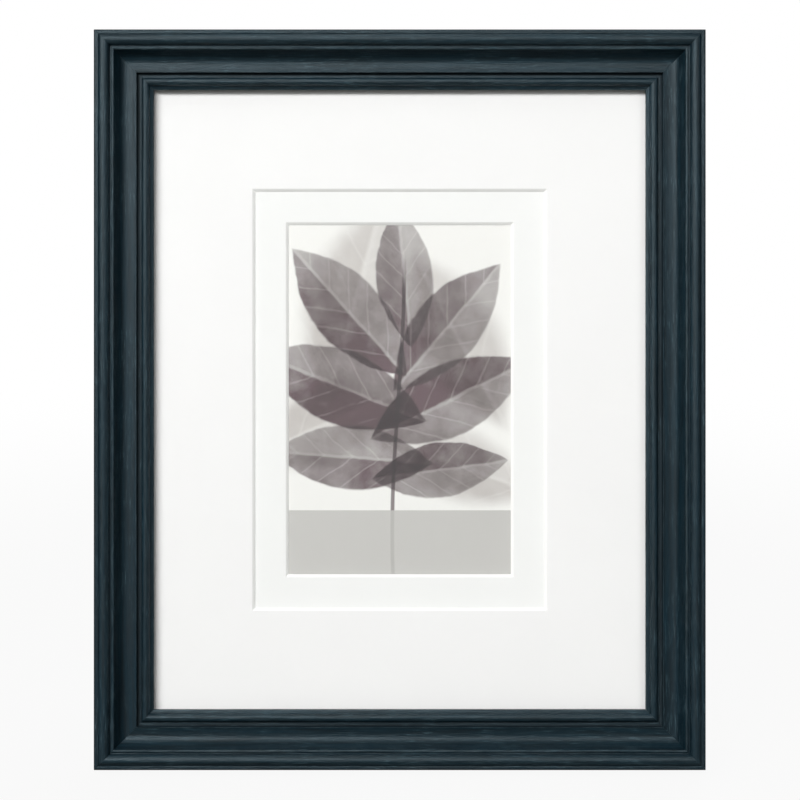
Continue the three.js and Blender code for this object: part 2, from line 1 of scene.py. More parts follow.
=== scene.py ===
"""Looks of the matted picture frame: moulding, picture pack, back hardware and easel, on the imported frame."""

import json
import math

import bmesh
import bpy
from bpy.props import FloatProperty, FloatVectorProperty, IntProperty, PointerProperty
from mathutils import Matrix, Vector


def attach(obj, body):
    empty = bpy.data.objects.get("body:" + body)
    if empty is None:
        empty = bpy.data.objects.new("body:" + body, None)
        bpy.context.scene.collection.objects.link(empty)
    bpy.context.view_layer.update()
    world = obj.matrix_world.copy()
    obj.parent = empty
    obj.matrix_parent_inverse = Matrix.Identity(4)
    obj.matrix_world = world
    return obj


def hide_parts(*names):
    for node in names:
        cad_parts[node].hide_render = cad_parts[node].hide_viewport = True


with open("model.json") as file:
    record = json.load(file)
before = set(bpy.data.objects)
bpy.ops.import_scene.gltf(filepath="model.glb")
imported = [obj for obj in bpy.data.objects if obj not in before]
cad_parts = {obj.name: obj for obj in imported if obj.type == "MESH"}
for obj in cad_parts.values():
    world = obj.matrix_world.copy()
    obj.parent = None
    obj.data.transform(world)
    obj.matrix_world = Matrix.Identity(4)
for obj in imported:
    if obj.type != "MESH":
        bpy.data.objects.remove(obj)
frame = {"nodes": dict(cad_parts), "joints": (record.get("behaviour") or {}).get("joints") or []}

bl_info = {
    "name": "Matted Picture Frame",
    "version": (1, 0, 0),
    "blender": (4, 5, 0),
    "location": "3D View > Sidebar > Picture Frame",
    "description": "Dresses the matted picture frame with its moulding, mats, glass, print, back and easel",
    "category": "Object",
}

MM = 0.001
QUARTER = math.pi / 2
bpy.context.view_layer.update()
NODES = frame["nodes"]
JOINTS = {joint["name"]: joint for joint in frame["joints"]}


def upright_matrix():
    """Takes the frame standing upright, its back on y = 0 and its lower edge on z = 0, to where it leans."""
    out = Vector(JOINTS["turn_button_1_turn"]["axis"])
    corner = min((v.co for v in NODES["bottom_rail"].data.vertices), key=lambda co: co.z)
    return Matrix.Translation((0, corner.y, corner.z)) @ Matrix.Rotation(math.atan2(out.z, out.y), 4, "X")


UPRIGHT = upright_matrix()


def upright_box(node, place=UPRIGHT):
    """Lowest and highest corner of a CAD node in the upright frame, or in another one."""
    back = place.inverted()
    points = [back @ v.co for v in NODES[node].data.vertices]
    return (Vector(min(p[i] for p in points) for i in range(3)), Vector(max(p[i] for p in points) for i in range(3)))


def hinge_matrix():
    """The hinge: X along its pin, Y out of the back, Z away from the foot."""
    joint = JOINTS["easel_leg_fold"]
    along = -Vector(joint["axis"])
    out = UPRIGHT.to_3x3() @ Vector((0, 1, 0))
    up = along.cross(out)
    turn = Matrix((along, out, up)).transposed().to_4x4()
    return Matrix.Translation(joint["pos_m"]) @ turn


HINGE = hinge_matrix()
OPEN_LEG = HINGE @ Matrix.Rotation(math.radians(JOINTS["easel_leg_fold"]["range_deg"][1]), 4, "X")
PRINT_BOX = upright_box("picture_print")
OUTER_MAT_BOX = upright_box("outer_mat")
INNER_MAT_BOX = upright_box("inner_mat")
BUTTONS = [f"turn_button_{n}" for n in range(1, 8)]
# Degrees between two faces from which an edge looks sharp, and between two lines from which a corner is rounded
SHARP_EDGE = 35
SHARP_CORNER = 28
ROUND_STEPS = 4


def linear(code):
    """sRGB hex to linear RGBA."""
    parts = [int(code[i:i + 2], 16) / 255 for i in (1, 3, 5)]
    return tuple(c / 12.92 if c <= 0.04045 else ((c + 0.055) / 1.055) ** 2.4 for c in parts) + (1.0,)


def length(name, description, millimetres):
    return FloatProperty(name=name, description=description, default=millimetres * MM, min=0, unit="LENGTH",
                         subtype="DISTANCE", precision=5)


def colour(name, description, code):
    return FloatVectorProperty(name=name, description=description, default=linear(code), size=4, min=0, max=1,
                               subtype="COLOR")


class MouldingSettings(bpy.types.PropertyGroup):
    """Section and finish of the moulding"""
    width: length("Width", "From the outer edge to the sight edge", 22.8)
    rabbet_depth: length("Rabbet depth", "Room for the picture pack, from the back", 7.95)
    lip_width: length("Lip width", "Lip over the glass", 4.75)
    lip_thickness: length("Lip thickness", "Lip from the glass to the foot of the inner bead", 2.45)
    lip_slope_width: length("Lip slope width", "Slope beside the sight edge", 1.5)
    lip_fall: length("Lip fall", "How far the lip slopes down to the sight edge", 0.7)
    lip_round: length("Lip round", "Rounding of the sight edge", 0.4)
    inner_bead_width: length("Inner bead width", "Bead beside the lip", 3.25)
    inner_bead_rise: length("Inner bead rise", "Bead above its foot", 1.6)
    channel_width: length("Channel width", "Sunk flat between the arris and the inner bead", 1.7)
    channel_drop: length("Channel drop", "Sunk flat below the foot of the inner bead", 0.4)
    arris_lean: length("Arris lean", "Slope of the step from the arris down to the channel", 0.15)
    arris_rise: length("Arris rise", "Arris above the foot of the inner bead", 1.9)
    toe_width: length("Toe width", "Gentle rise of the cove to the arris", 3.6)
    toe_rise: length("Toe rise", "Arris above the floor of the cove", 0.65)
    hollow_radius: length("Hollow radius", "Round between the floor and the wall of the cove", 3.25)
    cove_wall: FloatProperty(name="Cove wall", description="Tilt of the wall of the cove",
                             default=math.radians(60), min=0, max=QUARTER, subtype="ANGLE")
    cove_fall: length("Cove fall", "From the valley down to the floor of the cove", 4.9)
    ridge_width: length("Ridge width", "Thin ridge between the cove and the outer bead", 1.2)
    ridge_rise: length("Ridge rise", "Thin ridge above the valley", 0.5)
    valley_width: length("Valley width", "Flat between the outer bead and the ridge", 0.5)
    bead_width: length("Outer bead width", "Large rounded bead", 4.5)
    bead_rise: length("Outer bead rise", "Large bead above the valley", 2.4)
    rim_width: length("Rim width", "Flat at the outer edge", 1.7)
    rim_rise: length("Rim rise", "Outer flat above the valley", 1.3)
    rim_quirk: length("Rim quirk", "Step between the rim and the bead", 0.2)
    rim_chamfer: length("Rim chamfer", "Broken outer corner", 0.5)
    mitre_gap: length("Mitre gap", "Room between two sides as drawn", 0.15)
    hairline: length("Hairline", "Line that shows between two sides", 0.05)
    softness: length("Edge softness", "Rounding that brush and stain leave on an edge", 0.14)
    stain_dark: colour("Stain in the pores", "Darkest tone of the stain", "#020F16")
    stain_mid: colour("Stain on the face", "Main tone of the stain", "#09212B")
    stain_pale: colour("Brushed strokes", "Paler strokes of the wire brush", "#435A63")
    sheen: colour("Sheen", "Cool sheen of the stain", "#DAEEF6")
    worn: colour("Rubbed edge", "Tone of the rubbed edges", "#4E6066")
    back_dark: colour("Back wash", "Dark wash on the back of the wood", "#25282B")
    back_pale: colour("Bare back", "Bare wood that shows through on the back", "#6A5A47")


class PackSettings(bpy.types.PropertyGroup):
    """Mats, print and glass"""
    window_width: length("Window width", "Opening of the inner mat", 88.9)
    window_height: length("Window height", "Opening of the inner mat", 139.7)
    reveal: length("Reveal", "Inner mat that shows inside the outer window", 12.2)
    cut_softness: length("Cut softness", "Rounding of the paper over a bevel cut", 0.06)
    outer_paper: colour("Outer mat paper", "Face of the outer mat", "#F4F4F3")
    inner_paper: colour("Inner mat paper", "Face of the inner mat", "#F3F4F2")
    core: colour("Mat core", "White core that a bevel cut shows", "#F8F8F6")
    print_paper: colour("Print paper", "Unprinted ground", "#EDEDE9")
    ink_dark: colour("Dark ink", "Leaves in front", "#5C4A50")
    ink_pale: colour("Pale ink", "Leaves behind", "#C6C1C0")
    band: colour("Band", "Plain grey band at the foot of the print", "#B7B6B2")
    band_height: length("Band height", "Plain band from the lower edge of the window", 25.6)
    glass_ior: FloatProperty(name="Glass IOR", description="Refraction of the pane", default=1.45, min=1, max=2)


class BackSettings(bpy.types.PropertyGroup):
    """Board, easel and metal parts behind the picture"""
    covering: colour("Covering paper", "Black paper on the board and the leg", "#1D1D1F")
    covering_scuff: colour("Scuffed paper", "Rubbed places of the black paper", "#3A393A")
    fibre: colour("Board fibre", "Cut edge of the hardboard", "#5B4636")
    zinc: colour("Zinc plate", "Buttons, screws, hinge and corner nails", "#C3C8CC")
    zinc_dull: colour("Dull zinc", "Passivated patches", "#9CA2A8")
    brass: colour("Brass plate", "Hangers, their nails and the rivets", "#D3B06A")
    brass_dull: colour("Dull brass", "Tarnished patches", "#9B7B43")
    board_softness: length("Board softness", "Rounding of the covered board edges", 0.35)
    sheet_softness: length("Sheet softness", "Rolled edge of the stamped metal", 0.14)
    rib_rise: length("Button rib", "Pressed rib of a turn button", 0.35)
    tooth_pitch: length("Tooth pitch", "Teeth of the hangers", 2.4)
    tooth_depth: length("Tooth depth", "Teeth of the hangers", 1.5)
    hanger_thickness: length("Hanger thickness", "Sheet of the hangers", 0.8)
    hanger_lift: length("Hanger lift", "Middle of a hanger above its feet", 1.6)
    hanger_foot: length("Hanger foot", "Flat end of a hanger", 9.0)
    turn_seed: IntProperty(name="Screw seed", description="How far each screw happens to be driven", default=7, min=0)


class StageSettings(bpy.types.PropertyGroup):
    """Floor, light and camera"""
    floor: colour("Floor", "Pale floor", "#82827F")
    shadow_share: FloatProperty(name="Shadow share", description="How much of the shadow the white floor keeps",
                                default=0.07, min=0, max=1, subtype="FACTOR")
    key: FloatProperty(name="Key", description="Soft light from the upper left", default=97.0, min=0, unit="POWER")
    top: FloatProperty(name="Top", description="Narrow light close above the frame", default=0.7, min=0, unit="POWER")
    fill: FloatProperty(name="Fill", description="Weak soft light from the right", default=6.0, min=0, unit="POWER")
    rear: FloatProperty(name="Rear", description="Wide light on the back", default=22.0, min=0, unit="POWER")
    sky: FloatProperty(name="Room", description="Even light of the room", default=0.03, min=0)
    lens: FloatProperty(name="Lens", description="Focal length", default=100.0, min=1, unit="CAMERA")
    distance: length("Camera distance", "From the back of the frame to the camera", 893.6)


def add(tree, kind, sockets=None, **settings):
    """One node with its settings; a socket takes a value, another socket, or a node for its first output."""
    node = tree.nodes.new(kind)
    for name, value in settings.items():
        setattr(node, name, value)
    for key, value in (sockets or {}).items():
        socket = node.inputs[key] if isinstance(key, int) else next(
            s for s in node.inputs if s.name == key and s.enabled)
        if isinstance(value, bpy.types.Node):
            value = next(s for s in value.outputs if s.enabled)
        if isinstance(value, bpy.types.NodeSocket):
            tree.links.new(value, socket)
        else:
            socket.default_value = value
    return node


def darker(shade, share):
    return tuple(c * share for c in shade[:3]) + (1.0,)


def node_material(name):
    """Empty node material and its tree."""
    material = bpy.data.materials.new(name)
    material.use_nodes = True
    material.node_tree.nodes.clear()
    return material, material.node_tree


def show(tree, shader):
    add(tree, "ShaderNodeOutputMaterial", {"Surface": shader})


# Wire-brushed softwood under a slate blue stain: the brush opens the grain, so fine paler and darker strokes run along
# each length, the sheen is satin and the stain is rubbed paler on the sharp edges. The colour is also darkened as
# painted shade in the sunk channel beside the arris and on the outer sides.
def stained_wood(s):
    material, tree = node_material("wire_brushed_stained_wood")
    grain = add(tree, "ShaderNodeUVMap", uv_map="grain")
    place = add(tree, "ShaderNodeTexCoord").outputs["Object"]
    # The growth lines wander by about 1.5 mm over 60 mm of length
    wide = add(tree, "ShaderNodeMapping", {"Vector": grain, "Scale": (1 / (60 * MM), 1 / (12 * MM), 1)})
    wander = add(tree, "ShaderNodeTexNoise", {"Vector": wide, "Scale": 1.0, "Detail": 2.0})
    drawn = add(tree, "ShaderNodeVectorMath",
                {0: wander.outputs["Color"], 1: (0, 3 * MM, 0), 2: grain}, operation="MULTIPLY_ADD")
    # Growth bands about 1.4 mm wide and 40 mm long
    band_map = add(tree, "ShaderNodeMapping", {"Vector": drawn, "Scale": (1 / (40 * MM), 1 / (1.4 * MM), 1)})
    bands = add(tree, "ShaderNodeTexNoise", {"Vector": band_map, "Scale": 1.0, "Detail": 4.0, "Roughness": 0.6})
    # Brush strokes are 0.3 mm wide in life, drawn at 0.5 mm so that they show
    stroke_map = add(tree, "ShaderNodeMapping", {"Vector": drawn, "Scale": (1 / (8 * MM), 1 / (0.5 * MM), 1)})
    strokes = add(tree, "ShaderNodeTexNoise", {"Vector": stroke_map, "Scale": 1.0, "Detail": 5.0, "Roughness": 0.7})
    # The brush bites in patches about 16 mm across
    patches = add(tree, "ShaderNodeTexNoise", {"Vector": place, "Scale": 1 / (16 * MM), "Detail": 3.0})
    bite = add(tree, "ShaderNodeMapRange", {"Value": patches, "From Min": 0.36, "From Max": 0.64},
               interpolation_type="SMOOTHSTEP")
    tone = add(tree, "ShaderNodeMapRange", {"Value": bands, "From Min": 0.34, "From Max": 0.66})
    stain = add(tree, "ShaderNodeMix", {"Factor": tone, "A": s.stain_dark, "B": s.stain_mid}, data_type="RGBA")
    pale = add(tree, "ShaderNodeMapRange", {"Value": strokes, "From Min": 0.54, "From Max": 0.68, "To Max": 0.85})
    brushed = add(tree, "ShaderNodeMath", {0: pale, 1: bite}, operation="MULTIPLY")
    stroked = add(tree, "ShaderNodeMix", {"Factor": brushed, "A": stain, "B": s.stain_pale}, data_type="RGBA")
    # Rubbing shows on the edges and breaks up every few millimetres
    wear = add(tree, "ShaderNodeAttribute", attribute_name="wear")
    rub_map = add(tree, "ShaderNodeMapping", {"Vector": grain, "Scale": (1 / (7 * MM), 1 / (1.2 * MM), 1)})
    rub = add(tree, "ShaderNodeTexNoise", {"Vector": rub_map, "Scale": 1.0, "Detail": 3.0})
    broken = add(tree, "ShaderNodeMapRange", {"Value": rub, "From Min": 0.4, "From Max": 0.75, "To Max": 0.4})
    rubbed = add(tree, "ShaderNodeMath", {0: wear.outputs["Fac"], 1: broken}, operation="MULTIPLY")
    edged = add(tree, "ShaderNodeMix", {"Factor": rubbed, "A": stroked, "B": s.worn}, data_type="RGBA")
    # Dust specks about 0.4 mm across, one in every few cells of 9 mm
    cells = add(tree, "ShaderNodeTexVoronoi", {"Vector": place, "Scale": 1 / (9 * MM)})
    speck = add(tree, "ShaderNodeMapRange", {"Value": cells.outputs["Distance"], "From Min": 0.015, "From Max": 0.03,
                                             "To Min": 0.5, "To Max": 0.0})
    specked = add(tree, "ShaderNodeMix", {"Factor": speck, "A": edged, "B": s.worn}, data_type="RGBA")
    relief = add(tree, "ShaderNodeMath", {0: strokes, 1: 1.0, 2: bands}, operation="MULTIPLY_ADD")
    bump = add(tree, "ShaderNodeBump", {"Strength": 0.6, "Distance": 0.3 * MM, "Height": relief})
    rough = add(tree, "ShaderNodeMapRange", {"Value": bands, "From Min": 0.3, "From Max": 0.7, "To Min": 0.48,
                                             "To Max": 0.36})
    # Painted shade: the colour is darkened to 0.55 on the outer sides and in the sunk channel beside the arris,
    # where shade falls; the roughness is raised there too
    painted_shade = add(tree, "ShaderNodeMapRange", {"Value": wear.outputs["Fac"], "From Min": -1.0, "From Max": 0.0,
                                            "To Min": 0.55})
    shaded_stain = add(tree, "ShaderNodeVectorMath", {0: specked, 1: painted_shade}, operation="MULTIPLY")
    dulled = add(tree, "ShaderNodeMath", {0: rough, 1: painted_shade}, operation="DIVIDE")
    show(tree, add(tree, "ShaderNodeBsdfPrincipled", {"Base Color": shaded_stain, "Roughness": dulled, "Normal": bump,
                                                      "Specular IOR Level": 0.46, "Specular Tint": s.sheen}))
    return material


# Back of the same wood, washed with thin stain and left unbrushed: dull, with the bare wood in the soft grain.
def washed_back_wood(s):
    material, tree = node_material("washed_bare_wood")
    grain = add(tree, "ShaderNodeUVMap", uv_map="grain")
    fine = add(tree, "ShaderNodeMapping", {"Vector": grain, "Scale": (1 / (45 * MM), 1 / (1.6 * MM), 1)})
    lines = add(tree, "ShaderNodeTexNoise", {"Vector": fine, "Scale": 1.0, "Detail": 5.0, "Roughness": 0.65,
                                             "Distortion": 0.4})
    bare = add(tree, "ShaderNodeMapRange", {"Value": lines, "From Min": 0.42, "From Max": 0.75, "To Max": 0.6})
    wash = add(tree, "ShaderNodeMix", {"Factor": bare, "A": s.back_dark, "B": s.back_pale}, data_type="RGBA")
    bump = add(tree, "ShaderNodeBump", {"Strength": 0.3, "Distance": 0.2 * MM, "Height": lines})
    rough = add(tree, "ShaderNodeMapRange", {"Value": lines, "To Min": 0.7, "To Max": 0.85})
    show(tree, add(tree, "ShaderNodeBsdfPrincipled", {"Base Color": wash, "Roughness": rough,
                                                      "Specular IOR Level": 0.25, "Normal": bump}))
    return material


# Mat board faced with laid paper: matt white with a faint tooth and a very soft cloudiness.
def mat_paper(name, paper):
    material, tree = node_material(name)
    place = add(tree, "ShaderNodeTexCoord").outputs["Object"]
    # Paper tooth about 0.5 mm, cloudiness about 30 mm
    tooth = add(tree, "ShaderNodeTexNoise", {"Vector": place, "Scale": 1 / (0.5 * MM), "Detail": 3.0, "Roughness": 0.6})
    cloud = add(tree, "ShaderNodeTexNoise", {"Vector": place, "Scale": 1 / (30 * MM), "Detail": 2.0})
    both = add(tree, "ShaderNodeMath", {0: tooth, 1: 0.5, 2: cloud}, operation="MULTIPLY_ADD")
    dim = add(tree, "ShaderNodeMapRange", {"Value": both, "From Min": 0.4, "From Max": 1.1, "To Max": 0.5})
    shade = darker(paper, 0.96)
    face = add(tree, "ShaderNodeMix", {"Factor": dim, "A": tuple(paper), "B": shade}, data_type="RGBA")
    bump = add(tree, "ShaderNodeBump", {"Strength": 0.15, "Distance": 0.05 * MM, "Height": tooth})
    rough = add(tree, "ShaderNodeMapRange", {"Value": tooth, "To Min": 0.82, "To Max": 0.95})
    show(tree, add(tree, "ShaderNodeBsdfPrincipled", {"Base Color": face, "Roughness": rough,
                                                      "Specular IOR Level": 0.2, "Normal": bump}))
    return material


# Core of the mat board where the knife cut it: white alpha-cellulose pulp with faint layers along the cut.
def mat_core(s):
    material, tree = node_material("mat_board_core")
    place = add(tree, "ShaderNodeTexCoord").outputs["Object"]
    pulp = add(tree, "ShaderNodeTexNoise", {"Vector": place, "Scale": 1 / (0.4 * MM), "Detail": 3.0})
    dim = add(tree, "ShaderNodeMapRange", {"Value": pulp, "From Min": 0.35, "From Max": 0.7, "To Max": 0.6})
    shade = darker(s.core, 0.95)
    face = add(tree, "ShaderNodeMix", {"Factor": dim, "A": tuple(s.core), "B": shade}, data_type="RGBA")
    bump = add(tree, "ShaderNodeBump", {"Strength": 0.2, "Distance": 0.05 * MM, "Height": pulp})
    show(tree, add(tree, "ShaderNodeBsdfPrincipled", {"Base Color": face, "Roughness": 0.92,
                                                      "Specular IOR Level": 0.15, "Normal": bump}))
    return material


# Float glass: clear and polished, a trace of dust on its face, and lamps shine through it.
def clear_glass(s):
    material, tree = node_material("clear_float_glass")
    place = add(tree, "ShaderNodeTexCoord").outputs["Object"]
    # Dust film in patches about 20 mm across
    film = add(tree, "ShaderNodeTexNoise", {"Vector": place, "Scale": 1 / (20 * MM), "Detail": 4.0})
    rough = add(tree, "ShaderNodeMapRange", {"Value": film, "From Min": 0.4, "From Max": 0.8, "To Max": 0.04})
    pane = add(tree, "ShaderNodeBsdfPrincipled", {"Base Color": linear("#FEFEFE"), "Roughness": rough,
                                                  "IOR": s.glass_ior, "Transmission Weight": 1.0})
    open_way = add(tree, "ShaderNodeBsdfTransparent", {"Color": linear("#FEFEFE")})
    ray = add(tree, "ShaderNodeLightPath")
    lamp = add(tree, "ShaderNodeMath", {0: ray.outputs["Is Shadow Ray"], 1: ray.outputs["Is Diffuse Ray"]},
               operation="MAXIMUM")
    show(tree, add(tree, "ShaderNodeMixShader", {0: lamp, 1: pane, 2: open_way}))
    return material


# A leaf of the print: half length, half width, place and turn in the window, and how dark it is printed.
# The first ones lie behind and are paler.
LEAVES_BEHIND = (
    (48, 24, -17, 40, 74, 0.8),
    (44, 21, 25, 25, 118, 0.9),
    (42, 20, -27, -8, 24, 0.85),
    (40, 18, 23, -24, 158, 0.8),
)
LEAVES_IN_FRONT = (
    (29, 12, 3, 50, 96, 0.8),
    (35, 14.5, -19, 36, 132, 0.9),
    (34, 14, 20, 30, 50, 0.85),
    (37, 15.5, -22, 6, 158, 1.0),
    (36, 15, 21, 1, 26, 0.95),
    (33, 13.5, -18, -22, 176, 0.85),
    (28, 11.5, 17, -27, 8, 0.9),
)


def leaf_group():
    """Shade of one leaf, 0 to 1, with paler veins and one half darker than the other."""
    tree = bpy.data.node_groups.new("printed_leaf", "ShaderNodeTree")
    for name, kind in (("Paper", "NodeSocketVector"), ("Place", "NodeSocketVector"), ("Turn", "NodeSocketVector"),
                       ("Size", "NodeSocketVector"), ("Soft Edge", "NodeSocketFloat")):
        tree.interface.new_socket(name, in_out="INPUT", socket_type=kind)
    tree.interface.new_socket("Shade", in_out="OUTPUT", socket_type="NodeSocketFloat")
    given = add(tree, "NodeGroupInput").outputs
    flat = add(tree, "ShaderNodeMapping", {"Vector": given["Paper"], "Location": given["Place"],
                                           "Rotation": given["Turn"], "Scale": given["Size"]}, vector_type="TEXTURE")
    axes = add(tree, "ShaderNodeSeparateXYZ", {"Vector": flat}).outputs
    square = add(tree, "ShaderNodeMath", {0: axes["X"], 1: axes["X"]}, operation="MULTIPLY")
    reach = add(tree, "ShaderNodeMath", {0: 1.0, 1: square}, operation="SUBTRACT")
    side = add(tree, "ShaderNodeMath", {0: axes["Z"]}, operation="ABSOLUTE")
    inside = add(tree, "ShaderNodeMath", {0: reach, 1: side}, operation="SUBTRACT")
    mask = add(tree, "ShaderNodeMapRange", {"Value": inside, "From Max": given["Soft Edge"]},
               interpolation_type="SMOOTHSTEP")
    half = add(tree, "ShaderNodeMapRange", {"Value": axes["Z"], "From Min": -0.05, "From Max": 0.05, "To Min": 0.76,
                                            "To Max": 1.0})
    fade = add(tree, "ShaderNodeMapRange", {"Value": axes["X"], "From Min": -1.0, "From Max": 1.0, "To Min": 1.1,
                                            "To Max": 0.82})
    rib = add(tree, "ShaderNodeMapRange", {"Value": side, "From Min": 0.01, "From Max": 0.07, "To Min": 0.72,
                                           "To Max": 1.0})
    # Six side veins to a leaf, slanting towards its tip
    slant = add(tree, "ShaderNodeMath", {0: side, 1: -0.5, 2: axes["X"]}, operation="MULTIPLY_ADD")
    count = add(tree, "ShaderNodeMath", {0: slant, 1: 3.0}, operation="MULTIPLY")
    wave = add(tree, "ShaderNodeMath", {0: count, 1: 0.5}, operation="PINGPONG")
    vein = add(tree, "ShaderNodeMapRange", {"Value": wave, "From Min": 0.01, "From Max": 0.07, "To Min": 0.86,
                                            "To Max": 1.0})
    body = add(tree, "ShaderNodeMath", {0: half, 1: fade}, operation="MULTIPLY")
    ribbed = add(tree, "ShaderNodeMath", {0: body, 1: rib}, operation="MULTIPLY")
    veined = add(tree, "ShaderNodeMath", {0: ribbed, 1: vein}, operation="MULTIPLY")
    shade = add(tree, "ShaderNodeMath", {0: mask, 1: veined}, operation="MULTIPLY")
    add(tree, "NodeGroupOutput", {"Shade": shade})
    return tree


# Coated print paper: a plain sprig of overlapping leaves in mauve-grey ink on warm white, with a plain grey band below.
def print_paper(s):
    material, tree = node_material("printed_coated_paper")
    lo, hi = PRINT_BOX
    middle = UPRIGHT @ ((lo + hi) / 2)
    object_place = add(tree, "ShaderNodeTexCoord").outputs["Object"]
    paper = add(tree, "ShaderNodeMapping", {"Vector": object_place, "Location": middle, "Rotation": UPRIGHT.to_euler(),
                                            "Scale": (MM, MM, MM)}, vector_type="TEXTURE")
    axes = add(tree, "ShaderNodeSeparateXYZ", {"Vector": paper}).outputs
    # Watercolour cloudiness in patches of about 9 mm, and a fine print grain of 0.6 mm
    cloud = add(tree, "ShaderNodeTexNoise", {"Vector": paper, "Scale": 1 / 9, "Detail": 4.0, "Roughness": 0.55})
    speckle = add(tree, "ShaderNodeTexNoise", {"Vector": paper, "Scale": 1 / 0.6, "Detail": 1.0})
    wash = add(tree, "ShaderNodeMapRange", {"Value": cloud, "From Min": 0.3, "From Max": 0.7, "To Min": 0.95,
                                            "To Max": 1.2})
    wobble = add(tree, "ShaderNodeVectorMath", {0: cloud.outputs["Color"], 1: (2.2, 0, 2.2), 2: paper},
                 operation="MULTIPLY_ADD")
    group = leaf_group()
    picture = tuple(s.print_paper)
    for leaves, ink, soft in ((LEAVES_BEHIND, s.ink_pale, 0.5), (LEAVES_IN_FRONT, s.ink_dark, 0.09)):
        for half_length, half_width, x, z, turn, dark in leaves:
            leaf = add(tree, "ShaderNodeGroup", node_tree=group)
            tree.links.new(wobble.outputs[0], leaf.inputs["Paper"])
            leaf.inputs["Place"].default_value = (x, 0, z)
            leaf.inputs["Turn"].default_value = (0, -math.radians(turn), 0)
            leaf.inputs["Size"].default_value = (half_length, 1, half_width)
            leaf.inputs["Soft Edge"].default_value = soft
            strength = add(tree, "ShaderNodeMath", {0: leaf, 1: dark}, operation="MULTIPLY")
            laid = add(tree, "ShaderNodeMath", {0: strength, 1: wash}, operation="MULTIPLY", use_clamp=True)
            picture = add(tree, "ShaderNodeMix", {"Factor": laid, "A": picture, "B": tuple(ink)}, data_type="RGBA",
                          blend_type="MULTIPLY")
    # The stem bends gently from the foot of the picture to its top
    bend = add(tree, "ShaderNodeMath", {0: axes["Z"], 1: 1 / 34}, operation="MULTIPLY")
    swing = add(tree, "ShaderNodeMath", {0: bend}, operation="SINE")
    stem_x = add(tree, "ShaderNodeMath", {0: swing, 1: 2.4, 2: -0.6}, operation="MULTIPLY_ADD")
    off = add(tree, "ShaderNodeMath", {0: axes["X"], 1: stem_x}, operation="SUBTRACT")
    near = add(tree, "ShaderNodeMath", {0: off}, operation="ABSOLUTE")
    line = add(tree, "ShaderNodeMapRange", {"Value": near, "From Min": 0.55, "From Max": 0.95, "To Min": 0.85,
                                            "To Max": 0.0})
    below_tip = add(tree, "ShaderNodeMapRange", {"Value": axes["Z"], "From Min": 44.0, "From Max": 58.0, "To Min": 1.0,
                                                 "To Max": 0.0})
    stem = add(tree, "ShaderNodeMath", {0: line, 1: below_tip}, operation="MULTIPLY")
    picture = add(tree, "ShaderNodeMix", {"Factor": stem, "A": picture, "B": tuple(s.ink_dark)}, data_type="RGBA",
                  blend_type="MULTIPLY")
    edge = (s.band_height - s.window_height / 2) / MM
    foot = add(tree, "ShaderNodeMapRange", {"Value": axes["Z"], "From Min": edge - 0.1, "From Max": edge + 0.1,
                                            "To Min": 0.86, "To Max": 0.0})
    banded = add(tree, "ShaderNodeMix", {"Factor": foot, "A": picture, "B": tuple(s.band)}, data_type="RGBA")
    grained = add(tree, "ShaderNodeMapRange", {"Value": speckle, "To Min": 0.95, "To Max": 1.03})
    inked = add(tree, "ShaderNodeVectorMath", {0: banded, 1: grained}, operation="MULTIPLY")
    bump = add(tree, "ShaderNodeBump", {"Strength": 0.06, "Distance": 0.02 * MM, "Height": speckle})
    rough = add(tree, "ShaderNodeMapRange", {"Value": speckle, "To Min": 0.5, "To Max": 0.62})
    show(tree, add(tree, "ShaderNodeBsdfPrincipled", {"Base Color": inked, "Roughness": rough,
                                                      "Specular IOR Level": 0.3, "Normal": bump}))
    return material


# Black paper pasted over hardboard: matt, with a fine pebble from the embossing roller and grey rubbed places.
def covering_paper(s):
    material, tree = node_material("embossed_black_paper")
    place = add(tree, "ShaderNodeTexCoord").outputs["Object"]
    # Pebble of 0.7 mm, scuffs about 18 mm across
    pebble = add(tree, "ShaderNodeTexVoronoi", {"Vector": place, "Scale": 1 / (0.7 * MM)}, feature="SMOOTH_F1")
    scuff = add(tree, "ShaderNodeTexNoise", {"Vector": place, "Scale": 1 / (18 * MM), "Detail": 6.0, "Roughness": 0.65})
    rub = add(tree, "ShaderNodeMapRange", {"Value": scuff, "From Min": 0.48, "From Max": 0.78, "To Max": 0.8})
    high = add(tree, "ShaderNodeMapRange", {"Value": pebble.outputs["Distance"], "From Min": 0.1, "From Max": 0.6,
                                            "To Min": 1.0, "To Max": 0.35})
    worn = add(tree, "ShaderNodeMath", {0: rub, 1: high}, operation="MULTIPLY")
    face = add(tree, "ShaderNodeMix", {"Factor": worn, "A": s.covering, "B": s.covering_scuff}, data_type="RGBA")
    bump = add(tree, "ShaderNodeBump", {"Strength": 0.4, "Distance": 0.12 * MM, "Height": pebble.outputs["Distance"]},
               invert=True)
    rough = add(tree, "ShaderNodeMapRange", {"Value": scuff, "To Min": 0.66, "To Max": 0.9})
    show(tree, add(tree, "ShaderNodeBsdfPrincipled", {"Base Color": face, "Roughness": rough,
                                                      "Specular IOR Level": 0.3, "Normal": bump}))
    return material


